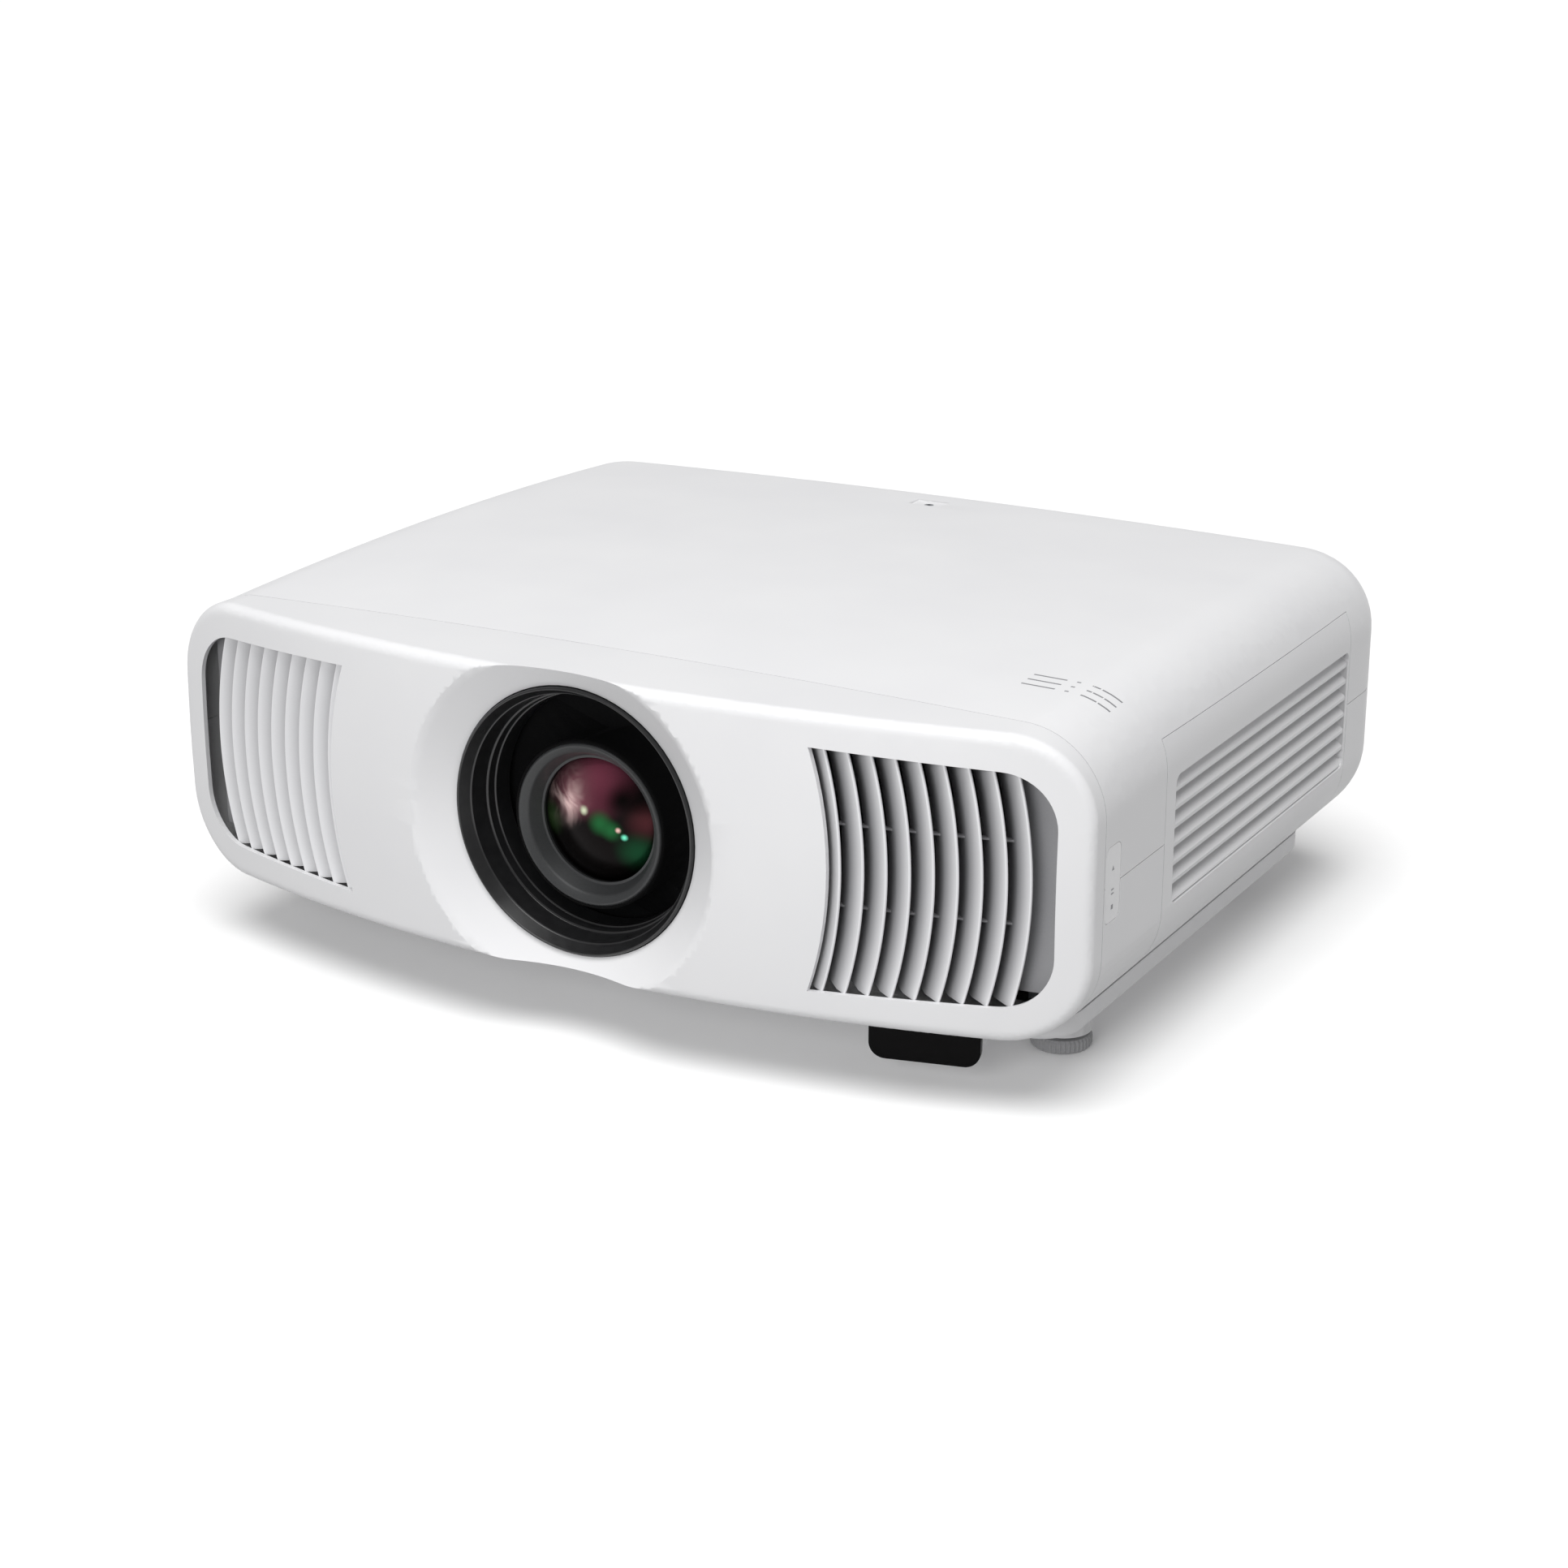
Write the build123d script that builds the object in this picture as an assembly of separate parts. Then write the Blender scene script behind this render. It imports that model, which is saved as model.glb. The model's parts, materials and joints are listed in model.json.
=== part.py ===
from build123d import *
import math
import os

# Home-theatre projector. Front faces -Y, +X is its left hand side seen from behind the lens,
# +Z is up. Origin: centre of the footprint, on the surface that the feet stand on. Millimetres.

# ---- driving dimensions ----
WIDTH, DEPTH, HEIGHT = 520.0, 447.0, 193.0
HALF_WIDTH = WIDTH / 2
REAR_Y = DEPTH / 2
WALL = 2.8
SEAM = 0.4                      # gap drawn between two mouldings

# case outline
PLAN_CORNER = 46.0              # vertical rear corners
EDGE_ROUND = 42.0               # long edges, top and bottom
BEZEL_SEAM_Y = -171.5           # front bezel meets the case
MID_SEAM_Z = 111.5              # top cover meets the lower case
CASE_BOTTOM_Z = 36.2
PEAK_Y = 14.0                   # highest line of the crowned top
TOP_LONG_R, TOP_CROSS_R = 3309.0, 8000.0
BEZEL_TOP_Z = 187.8
BOTTOM_CROSS_R = 6000.0

# bowed front face
FRONT_Y = -228.0                # its foremost line, which the lens dish cuts away
FRONT_MID_Z = 110.0
FRONT_PLAN_R, FRONT_TALL_R = 790.0, 900.0
CREST_ROUND = 6.0

# lens surround
LENS_Z = 110.3                  # axis of the dish and the hood
DISH_Y = -210.0                 # plane of the hood's outer edge
DISH_R_IN, DISH_R_OUT, DISH_FACE_Y = 68.3, 87.0, -223.4
HOOD_R = 67.8

# lens assembly, at its place in the shift range
LENS_AXIS_Z = 104.8
BARREL_R, BARREL_Y = 43.0, -197.0
GLASS_R, GLASS_Y = 32.0, -186.0
TUBE_R = 36.0
FLANGE_R = 50.0

# front grilles
GRILLE_IN_X, GRILLE_BOW_X, GRILLE_OUT_X = 131.2, 141.2, 244.2
GRILLE_TOP_IN, GRILLE_TOP_OUT = 171.0, 166.8
GRILLE_LOW_IN, GRILLE_LOW_OUT = 51.8, 54.6
GRILLE_CORNER = 27.0
GRILLE_MID_Z = 111.4
BLADES, BLADE_PITCH, FIRST_BLADE_X = 9, 10.83, 146.1
BLADE_ARC_R = 205.0
BLADE_RUN_X, BLADE_RUN_Y, BLADE_THICK = 15.0, 10.0, 1.8
BLADE_DEPTH = 2.8               # blade tips behind the bowed face

# filter cover in the right side
COVER_Y = (-102.0, 152.0)
COVER_TOP_Z, COVER_LOW_Z = 163.0, 50.0
SLOT_Y = (-90.0, 150.0)
SLOT_Z = (77.0, 142.0)
SLATS, SLAT_THICK = 7, 1.8

# base pan, feet
PAN_X, PAN_FRONT_Y, PAN_REAR_Y = 237.0, -160.0, 165.0
PAN_BOTTOM_Z = 25.0
FOOT_X, FOOT_Y, FOOT_R, FOOT_H = 211.0, -103.0, 15.3, 7.0
STUD_R, RUNNING = 4.0, 0.05
REAR_FOOT_X, REAR_FOOT_Y, REAR_FOOT_R = 185.0, 135.0, 12.0
MOUNT_X, MOUNT_Y = 80.0, 70.0   # half spacings of the ceiling-bracket inserts
INSERT_HOLE_R = 2.0

# chassis
TRAY_Z, SHEET = 30.0, 1.5
TRAY_X, TRAY_Y = 214.0, (-146.0, 152.0)
TRAY_SCREW_X, TRAY_SCREWS_Y = 120.0, (-140.0, 120.0)
POST_X, POSTS_Y, POST_R = 232.0, (-140.0, 190.0), 4.5    # screw posts between the two halves of the case
NOTCH_Y, NOTCH_Z = (157.0, 171.0), 188.6                 # shallow screw notch in the top

# rear connectors: centre of each socket, and width, height and depth of each kind
PANEL_Y = (214.0, 216.0)
PANEL_Z = 84.0
PANEL_HALF, PANEL_PLATE_Z = 184.0, (61.0, 106.0)
OPENING_HALF, OPENING_Z = 180.0, (64.0, 103.0)
SOCKET_X = {"hdmi": (-20.0, 8.0), "usb": (40.0, 62.0), "lan": (92.0,)}
SOCKET_SIZE = {"hdmi": (15.6, 6.2, 12.0), "usb": (14.4, 7.2, 14.0), "lan": (16.0, 13.6, 16.0)}
INLET_X, INLET_SIZE = -130.0, (28.0, 20.6, 22.0)
BOARD_DROP = 9.4                # main board below the sockets' centres

# phosphor wheel
WHEEL_Y, WHEEL_Z, WHEEL_R = 35.0, 112.0, 34.0

# lens shift mechanism: two sliding plates, each with a rack
LENS_BRACKET_Y = (-62.0, -58.0)
V_PLATE_Y = (-67.5, -64.5)
H_PLATE_Y = (-73.0, -70.0)
MODULE = 1.0
SHIFT_TEETH, RACK_TEETH = 12, 16
PIN_R = 1.5                     # shafts of all small gears
V_RACK_X = -76.0
V_PINION_X, V_PINION_Z = V_RACK_X - MODULE * SHIFT_TEETH / 2, LENS_AXIS_Z
H_RACK_Z = LENS_AXIS_Z + 54.0
H_PINION_X, H_PINION_Z = 0.0, H_RACK_Z + MODULE * SHIFT_TEETH / 2

# lens rings and their drives
ZOOM_Y, FOCUS_Y = (-112.0, -104.0), (-136.0, -128.0)
RING_TEETH, DRIVE_TEETH = 80, 14
DRIVE_R = MODULE * (RING_TEETH + DRIVE_TEETH) / 2
DRIVE_ANGLE = 35.0

# fans: centre and the axis that each turns about
FAN_BORE, FAN_DEPTH, FAN_HALF = 37.5, 25.0, 40.0
FANS = {"left_front_fan": ((-186, -165.0, 108), "y"), "right_front_fan": ((186, -165.0, 108), "y"),
        "side_fan": ((219, -40, 108), "x")}

# control buttons in the left side: centre along Y and radius
BUTTON_Z = 131.0
BUTTONS_Y = {"power_button": (46.0, 5.0), "menu_button": (74.0, 4.0), "enter_button": (118.0, 4.0)}
ARROW_OFFSET, ARROW_R = 9.5, 2.6
ARROWS = {"up_button": (118.0, BUTTON_Z + ARROW_OFFSET), "down_button": (118.0, BUTTON_Z - ARROW_OFFSET),
          "left_button": (118.0 + ARROW_OFFSET, BUTTON_Z), "right_button": (118.0 - ARROW_OFFSET, BUTTON_Z)}
BUTTON_GAP = 0.3


# ---- small building blocks ----
def block(x, y, z):
    """Box between the given pairs of limits."""
    size = (x[1] - x[0], y[1] - y[0], z[1] - z[0])
    return Pos((x[0] + x[1]) / 2, (y[0] + y[1]) / 2, (z[0] + z[1]) / 2) * Box(*size)


def x_rod(radius, x, y, z):
    return Pos((x[0] + x[1]) / 2, y, z) * Rot(0, 90, 0) * Cylinder(radius, x[1] - x[0])


def y_rod(radius, y, x, z):
    return Pos(x, (y[0] + y[1]) / 2, z) * Rot(90, 0, 0) * Cylinder(radius, y[1] - y[0])


def z_rod(radius, z, x, y):
    return Pos(x, y, (z[0] + z[1]) / 2) * Cylinder(radius, z[1] - z[0])


def turned(profile, x=0.0, z=0.0):
    """Solid of revolution about a Y-parallel axis. The profile is a list of (radius, y)."""
    face = make_face(Polyline(*[(r, y, 0) for r, y in profile], close=True))
    solid = revolve(face, axis=Axis.Y, revolution_arc=360)
    return Pos(x, 0, z) * solid


def joined(pieces):
    """Fuse a list of touching pieces."""
    total = pieces[0]
    for piece in pieces[1:]:
        total = total + piece
    return total


def group(pieces):
    """Keep a list of separate solids together in one node."""
    return Compound(children=[piece.solid() for piece in pieces])


def save(shape, node):
    export_step(shape, f"parts/{node}.step")


# ---- outer shape of the case ----
def bowed_top(inset, reach=640.0):
    """Solid below the doubly crowned top."""
    top = HEIGHT - inset
    half = 300.0
    drop = half ** 2 / (2 * TOP_CROSS_R)
    low = top - 260.0
    arc = ThreePointArc((-half, top - drop), (0, top), (half, top - drop))
    sides = Polyline((half, top - drop), (half, low), (-half, low), (-half, top - drop))
    face = Plane(origin=(0, PEAK_Y, 0), x_dir=(1, 0, 0), z_dir=(0, -1, 0)) * make_face([arc, sides])
    axis = Axis((0, PEAK_Y, HEIGHT - TOP_LONG_R), (1, 0, 0))
    sweep = math.degrees(reach / TOP_LONG_R)
    return revolve(face.rotate(axis, -sweep / 2), axis=axis, revolution_arc=sweep)


def bowed_front(inset):
    """Solid behind the front face, which is convex in plan and a little in height."""
    tall = 130.0
    drop = tall ** 2 / (2 * FRONT_TALL_R)
    nose = FRONT_Y + inset
    centre = FRONT_Y + FRONT_PLAN_R
    back = nose + 300.0
    low, high = FRONT_MID_Z - tall, FRONT_MID_Z + tall
    arc = ThreePointArc((nose + drop, low), (nose, FRONT_MID_Z), (nose + drop, high))
    sides = Polyline((nose + drop, high), (back, high), (back, low), (nose + drop, low))
    face = Plane.YZ * make_face([arc, sides])
    axis = Axis((0, centre, 0), (0, 0, 1))
    return revolve(face.rotate(axis, -25), axis=axis, revolution_arc=50)


def case_blank(inset):
    """Case behind the bezel, without the bezel."""
    half = HALF_WIDTH - inset
    rear = REAR_Y - inset
    outline = make_face(Polyline((-half, BEZEL_SEAM_Y), (half, BEZEL_SEAM_Y), (half, rear), (-half, rear),
                                 close=True))
    rear_corners = outline.vertices().filter_by(lambda v: v.Y > 0)
    plan = fillet(rear_corners, PLAN_CORNER - inset)
    blank = extrude(Pos(0, 0, CASE_BOTTOM_Z + inset) * plan, HEIGHT + 20)
    blank = blank & bowed_top(inset)
    top = [e for e in blank.edges() if e.center().Z > MID_SEAM_Z + 40 and e.center().Y > BEZEL_SEAM_Y + 1]
    blank = fillet(top, EDGE_ROUND - inset)
    low = [e for e in blank.edges()
           if e.center().Z < CASE_BOTTOM_Z + inset + 1 and e.center().Y > BEZEL_SEAM_Y + 1]
    return fillet(low, EDGE_ROUND - inset)


def bezel_outline(inset):
    """Front view of the bezel: crowned top and bottom, large corners."""
    half = HALF_WIDTH - inset
    top = BEZEL_TOP_Z - inset
    low = CASE_BOTTOM_Z + inset
    top_end = top - half ** 2 / (2 * TOP_CROSS_R)
    low_end = low
    top_arc = ThreePointArc((-half, top_end), (0, top), (half, top_end))
    rest = Polyline((half, top_end), (half, low_end), (-half, low_end), (-half, top_end))
    face = make_face([top_arc, rest])
    face = fillet(face.vertices(), EDGE_ROUND - inset)
    return Plane.XZ * face


def bezel_blank(inset):
    prism = extrude(bezel_outline(inset), -BEZEL_SEAM_Y + 100)
    prism = prism & block((-300, 300), (-260, BEZEL_SEAM_Y), (0, 220))
    return prism & bowed_front(inset)


# ---- outer mouldings ----
def grille_outline(inset):
    """Aperture of the +X grille in front view, shrunk by inset."""
    inner = GRILLE_IN_X + inset
    outer = GRILLE_OUT_X - inset
    top_in, low_in = (inner, GRILLE_TOP_IN - inset), (inner, GRILLE_LOW_IN + inset)
    bow = (GRILLE_BOW_X + inset, GRILLE_MID_Z)
    arc = ThreePointArc(low_in, bow, top_in)
    rest = Polyline(top_in, (outer, GRILLE_TOP_OUT - inset), (outer, GRILLE_LOW_OUT + inset), low_in)
    face = make_face([arc, rest])
    outer_corners = face.vertices().filter_by(lambda v: v.X > outer - 1)
    return Plane.XZ * fillet(outer_corners, GRILLE_CORNER - inset)


def grille_prism(inset):
    """The aperture as a solid that runs through the bezel."""
    return extrude(grille_outline(inset), -FRONT_Y + 10) & block((0, 300), (FRONT_Y - 5, -170), (0, 220))


def dish_cone(offset):
    """Cone of the lens dish, moved inwards by offset, open to the front."""
    slope = (DISH_R_OUT - DISH_R_IN) / (DISH_Y - DISH_FACE_Y)
    far_y, near_y = FRONT_Y - 12 + offset, DISH_Y + offset
    wide = DISH_R_IN + slope * (near_y - far_y)
    return turned([(0, far_y), (wide, far_y), (DISH_R_IN, near_y), (0, near_y)], z=LENS_Z)


def front_bezel():
    blank = bezel_blank(0)
    front_edges = [e for e in blank.edges() if e.center().Y < BEZEL_SEAM_Y - 5]
    blank = fillet(front_edges, CREST_ROUND)
    back = block((-300, 300), (BEZEL_SEAM_Y - SEAM, BEZEL_SEAM_Y + 5), (0, 220))
    shell = blank - bezel_blank(WALL) - back
    collar = turned([(DISH_R_IN, DISH_Y + WALL), (DISH_R_IN + WALL, DISH_Y + WALL),
                     (DISH_R_IN + WALL, DISH_Y - 6), (DISH_R_IN, DISH_Y - 6)], z=LENS_Z)
    funnel = (dish_cone(WALL) & blank) + (collar & blank)
    throat = y_rod(DISH_R_IN, (FRONT_Y - 20, BEZEL_SEAM_Y), 0, LENS_Z)
    shell = (shell - dish_cone(0) - throat) + (funnel - dish_cone(0) - throat)
    aperture = grille_prism(0)
    return shell - aperture - mirror(aperture, about=Plane.YZ)


def grille_insert():
    """Curved louvres of the +X side with their rim and two cross ribs, one moulding."""
    fit = 0.25
    outside = grille_prism(fit) & bowed_front(1.2)
    rim = (outside - grille_prism(fit + 1.6)) & block((0, 300), (-230, -181), (0, 220))
    window = grille_prism(fit + 0.8)
    blades = []
    for i in range(BLADES):
        tip_x = FIRST_BLADE_X + i * BLADE_PITCH
        tip_y = FRONT_Y + BLADE_DEPTH + tip_x ** 2 / (2 * FRONT_PLAN_R)
        heel_x, heel_y = tip_x - BLADE_RUN_X, tip_y + BLADE_RUN_Y
        section = Polyline((tip_x, tip_y), (tip_x, tip_y + BLADE_THICK), (heel_x, heel_y + BLADE_THICK),
                           (heel_x, heel_y), close=True)
        face = Pos(0, 0, GRILLE_MID_Z) * make_face(section)
        axis = Axis((tip_x - BLADE_ARC_R, 0, GRILLE_MID_Z), (0, 1, 0))
        blades.append(revolve(face.rotate(axis, -20), axis=axis, revolution_arc=40) & window)
    ribs = []
    for rib_z in (GRILLE_MID_Z - 20, GRILLE_MID_Z + 20):
        bar = block((132, 244), (-230, -183), (rib_z - 0.8, rib_z + 0.8))
        ribs.append((bar & bowed_front(9.0) & grille_prism(fit + 0.8)) - bowed_front(14.0))
    return joined([rim] + ribs + blades)


def lens_hood():
    """Black stepped ring that fills the throat of the dish."""
    profile = [(HOOD_R, DISH_Y - 0.8), (66.6, DISH_Y - 2.0), (65.0, DISH_Y - 2.0), (63.2, DISH_Y - 0.6),
               (61.6, -203.0), (60.4, -203.0), (59.8, -194.0), (59.0, -194.0), (58.6, -178.0),
               (71.0, -178.0), (71.0, -181.0), (HOOD_R, -181.0)]
    return turned(profile, z=LENS_Z)


def side_cover_region(gap):
    """The part of the right side wall that comes off with the filter."""
    return block((225, 300), (COVER_Y[0] + gap, COVER_Y[1] - gap), (COVER_LOW_Z + gap, COVER_TOP_Z - gap))


def indicator_region(gap):
    size_y, size_z = 17.0 - 2 * gap, 37.0 - 2 * gap
    plate = Pos(HALF_WIDTH - 1.5, -162.0, 112.0) * Box(6, size_y, size_z)
    long_edges = plate.edges().filter_by(Axis.X)
    return fillet(long_edges, 4.0 - gap)


def control_region(gap):
    return block((-HALF_WIDTH - 3, -HALF_WIDTH + 2.0), (30 + gap, 150 - gap), (117 + gap, 145 - gap))


def case_shell():
    return case_blank(0) - case_blank(WALL)


def top_cover(shell):
    cover = shell & block((-300, 300), (BEZEL_SEAM_Y, 300), (MID_SEAM_Z + SEAM / 2, 220))
    cover = cover - side_cover_region(0) - indicator_region(0) - control_region(0)
    notch_mid = sum(NOTCH_Y) / 2
    cover = cover - block((-10, 10), NOTCH_Y, (NOTCH_Z, 200))
    inside = case_blank(1.0)
    floor = block((-12, 12), (NOTCH_Y[0] - 2, NOTCH_Y[1] + 2), (NOTCH_Z - 3.6, NOTCH_Z - 1.2))
    cover = cover + (floor & inside)
    cover = cover - z_rod(1.6, (180, 200), 0, notch_mid)
    cover = cover - z_rod(3.1, (NOTCH_Z - 1.2, 200), 0, notch_mid)
    for x in (-1, 1):
        for y in POSTS_Y:
            cover = cover + (z_rod(POST_R, (MID_SEAM_Z + 0.5, 200), x * POST_X, y) & inside)
    return cover - button_holes()


def lower_case(shell):
    case = shell & block((-300, 300), (BEZEL_SEAM_Y, 300), (0, MID_SEAM_Z - SEAM / 2))
    case = case - side_cover_region(0) - indicator_region(0)
    pan_hole = block((-PAN_X + 12, PAN_X - 12), (PAN_FRONT_Y + 12, PAN_REAR_Y - 12), (30, 45))
    case = case - pan_hole
    case = case - block((-OPENING_HALF, OPENING_HALF), (210, 230), OPENING_Z)
    inside = case_blank(1.0)
    for x in (-1, 1):
        for y in POSTS_Y:
            case = case + (z_rod(POST_R, (30, MID_SEAM_Z - 0.5), x * POST_X, y) & inside)
    return case


def base_pan():
    outline = fillet(Rectangle(2 * PAN_X, PAN_REAR_Y - PAN_FRONT_Y).vertices(), 22)
    middle_y = (PAN_REAR_Y + PAN_FRONT_Y) / 2
    top_z = CASE_BOTTOM_Z - 0.2
    pan = extrude(Pos(0, middle_y, PAN_BOTTOM_Z) * outline, top_z - PAN_BOTTOM_Z)
    bottom_edges = [e for e in pan.edges() if e.center().Z < PAN_BOTTOM_Z + 0.1]
    pan = fillet(bottom_edges, 3)
    inner = fillet(Rectangle(2 * PAN_X - 6, PAN_REAR_Y - PAN_FRONT_Y - 6).vertices(), 19)
    pan = pan - extrude(Pos(0, middle_y, PAN_BOTTOM_Z + 2.5) * inner, 20)
    for x in (-1, 1):
        pan = pan + z_rod(15.0, (FOOT_H + 2, PAN_BOTTOM_Z + 2), x * FOOT_X, FOOT_Y)
        pan = pan + z_rod(8.0, (PAN_BOTTOM_Z, top_z), x * FOOT_X, FOOT_Y)
        pan = pan - z_rod(STUD_R + RUNNING, (0, 60), x * FOOT_X, FOOT_Y)
        for y in (-MOUNT_Y, MOUNT_Y):
            pan = pan - z_rod(3.5, (0, 60), x * MOUNT_X, y)
        for y in TRAY_SCREWS_Y:
            pan = pan - z_rod(2.0, (0, 60), x * TRAY_SCREW_X, y)
    pan = pan + (receiver_housing() - block((0, 300), (-157, 0), (PAN_BOTTOM_Z + 1, 60)))
    for i in range(9):
        for x in (-1, 1):
            pan = pan - block((x * 150 - 30, x * 150 + 30), (-40 + 9 * i, -36 + 9 * i), (20, 32))
    return pan


def filter_cover(shell):
    cover = shell & side_cover_region(SEAM)
    corner_box = Pos(255, (SLOT_Y[0] + SLOT_Y[1]) / 2, (SLOT_Z[0] + SLOT_Z[1]) / 2)
    window = corner_box * Box(40, SLOT_Y[1] - SLOT_Y[0], SLOT_Z[1] - SLOT_Z[0])
    cover = cover - fillet(window.edges().filter_by(Axis.X), 5)
    pitch = (SLOT_Z[1] - SLOT_Z[0]) / SLATS
    for i in range(SLATS):
        low = SLOT_Z[0] + i * pitch
        section = Polyline((259.0, low + 0.6), (259.0, low + 0.6 + SLAT_THICK), (250.0, low + pitch + 1.4),
                           (250.0, low + pitch + 1.4 - SLAT_THICK), close=True)
        slat = extrude(Plane.XZ * make_face(section), SLOT_Y[1] - SLOT_Y[0] + 2, dir=(0, 1, 0))
        cover = cover + (Pos(0, SLOT_Y[0] - 1, 0) * slat)
    frame = block((248.5, 257.5), (SLOT_Y[0] - 4, SLOT_Y[1] + 1.5), (SLOT_Z[0] - 3, SLOT_Z[1] + 4))
    frame = frame - block((240, 262), SLOT_Y, SLOT_Z)
    return cover + (frame & case_blank(1.0))


def filter_element():
    """Pleated dust filter in its frame, held in the cover."""
    y, z = (-96.0, 146.0), (72.0, 146.0)
    frame = block((234, 247.5), y, z) - block((230, 250), (y[0] + 4, y[1] - 4), (z[0] + 4, z[1] - 4))
    pleats = []
    count = 26
    step = (y[1] - y[0] - 8) / count
    for i in range(count):
        start = y[0] + 4 + i * step
        fold = Polyline((236, start), (246, start + step / 2), (236, start + step), (237, start + step),
                        (247, start + step / 2), (237, start), close=True)
        pleats.append(extrude(Pos(0, 0, z[0] + 3) * make_face(fold), z[1] - z[0] - 6))
    return joined([frame] + pleats)


# ---- small fittings on the outside ----
RECEIVER = Pos(176, -180, 0) * Rot(0, 0, 14)
RECEIVER_Z = (13.5, 35.9)


def receiver_block(width, thick, inset, radius):
    """Slab with two round lower corners, its back on the receiver's plane."""
    low, high = RECEIVER_Z[0] + inset, RECEIVER_Z[1]
    face = Pos(0, (low + high) / 2) * Rectangle(width, high - low)
    lower = face.vertices().filter_by(lambda v: v.Y < low + 1)
    return extrude(Plane.XZ * fillet(lower, radius), thick)


def receiver_window():
    """Black infrared window under the front edge, following the bow of the front."""
    return RECEIVER * receiver_block(54, 4, 0, 8)


def receiver_housing():
    """Small housing behind the window, part of the base pan moulding."""
    return RECEIVER * Pos(0, 23.1, 0) * receiver_block(52, 23, 1, 7)


def rear_foot(x):
    foot = z_rod(REAR_FOOT_R, (0, PAN_BOTTOM_Z - 0.1), x, REAR_FOOT_Y)
    low = [e for e in foot.edges() if e.center().Z < 0.1]
    return fillet(low, 2)


def front_foot(x):
    """Knurled foot disc and its stud."""
    disc = z_rod(FOOT_R, (0, FOOT_H), x, FOOT_Y)
    disc = fillet([e for e in disc.edges() if e.length > 50], 1.2)
    notches = []
    for i in range(24):
        angle = math.radians(i * 15)
        notches.append((x + FOOT_R * math.cos(angle), FOOT_Y + FOOT_R * math.sin(angle)))
    for notch_x, notch_y in notches:
        disc = disc - z_rod(0.9, (1.5, FOOT_H + 1), notch_x, notch_y)
    return disc + z_rod(STUD_R, (FOOT_H - 1, 46), x, FOOT_Y)


def button(radius, y, z):
    """Button cap with a retaining flange behind the plate."""
    cap = x_rod(radius, (-259.7, -256.0), y, z)
    cap = fillet([e for e in cap.edges() if e.center().X < -259.6], 0.5)
    return cap + x_rod(radius + 0.8, (-256.9, -255.7), y, z)


def button_places():
    """Name, radius, y and z of every button."""
    places = [(name, radius, y, BUTTON_Z) for name, (y, radius) in BUTTONS_Y.items()]
    return places + [(name, ARROW_R, y, z) for name, (y, z) in ARROWS.items()]


def button_holes():
    return joined([x_rod(radius + BUTTON_GAP, (-262, -250), y, z) for _, radius, y, z in button_places()])


def control_plate():
    return block((-259.2, -258.1), (30.3, 149.7), (117.3, 144.7)) - button_holes()


# ---- rear connectors ----

def socket_shell(width, height, depth, x, z, wall=0.6):
    """Sheet-metal or moulded socket, open to the rear."""
    y0, y1 = PANEL_Y[1] + 0.6 - depth, PANEL_Y[1] + 0.6
    body = block((x - width / 2, x + width / 2), (y0, y1), (z - height / 2, z + height / 2))
    mouth = block((x - width / 2 + wall, x + width / 2 - wall), (y0 + 2, y1 + 1),
                  (z - height / 2 + wall, z + height / 2 - wall))
    return body - mouth


def tongue(width, depth, x, z):
    y1 = PANEL_Y[1] - 1.0
    return block((x - width / 2, x + width / 2), (y1 - depth, y1), (z - 0.9, z + 0.9))


def hdmi_sockets():
    size = SOCKET_SIZE["hdmi"]
    return group([socket_shell(*size, x, PANEL_Z) + tongue(11, 8.6, x, PANEL_Z) for x in SOCKET_X["hdmi"]])


def usb_sockets():
    size = SOCKET_SIZE["usb"]
    return group([socket_shell(*size, x, PANEL_Z) + tongue(11, 10.6, x, PANEL_Z + 1.9) for x in SOCKET_X["usb"]])


def lan_socket():
    return socket_shell(*SOCKET_SIZE["lan"], SOCKET_X["lan"][0], PANEL_Z, wall=1.6)


def ac_inlet():
    """Mains inlet with three blades."""
    y0, y1 = PANEL_Y[1] + 1.0 - INLET_SIZE[2], PANEL_Y[1] + 1.0
    half_w, half_h = INLET_SIZE[0] / 2, INLET_SIZE[1] / 2
    body = block((INLET_X - half_w, INLET_X + half_w), (y0, y1), (PANEL_Z - half_h, PANEL_Z + half_h))
    mouth = block((INLET_X - 12, INLET_X + 12), (y0 + 3, y1 + 1), (PANEL_Z - 8, PANEL_Z + 8))
    body = body - mouth
    for dx, dz in ((-7.0, -1.8), (0.0, 2.6), (7.0, -1.8)):
        blade = block((INLET_X + dx - 1, INLET_X + dx + 1), (y0 + 2, y1 - 3),
                      (PANEL_Z + dz - 1.6, PANEL_Z + dz + 1.6))
        body = body + blade
    return body


def rear_panel():
    """Recessed connector plate with a hole for each socket."""
    low, high = OPENING_Z
    plate = block((-PANEL_HALF, PANEL_HALF), PANEL_Y, PANEL_PLATE_Z)
    frame = block((-PANEL_HALF, PANEL_HALF), (PANEL_Y[1], 220.2), PANEL_PLATE_Z)
    frame = frame - block((0.4 - OPENING_HALF, OPENING_HALF - 0.4), (210, 222), (low + 0.4, high - 0.4))
    plate = plate + (frame & case_blank(WALL + 0.2))
    for key, size in SOCKET_SIZE.items():
        for x in SOCKET_X[key]:
            plate = plate - block((x - size[0] / 2 - 0.2, x + size[0] / 2 + 0.2), (205, 218),
                                  (PANEL_Z - size[1] / 2 - 0.2, PANEL_Z + size[1] / 2 + 0.2))
    plate = plate - block((INLET_X - 14.2, INLET_X + 14.2), (205, 218), (PANEL_Z - 10.5, PANEL_Z + 10.5))
    return plate - block((-92, -84.5), (205, 218), (PANEL_Z - 1.6, PANEL_Z + 1.6))


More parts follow.
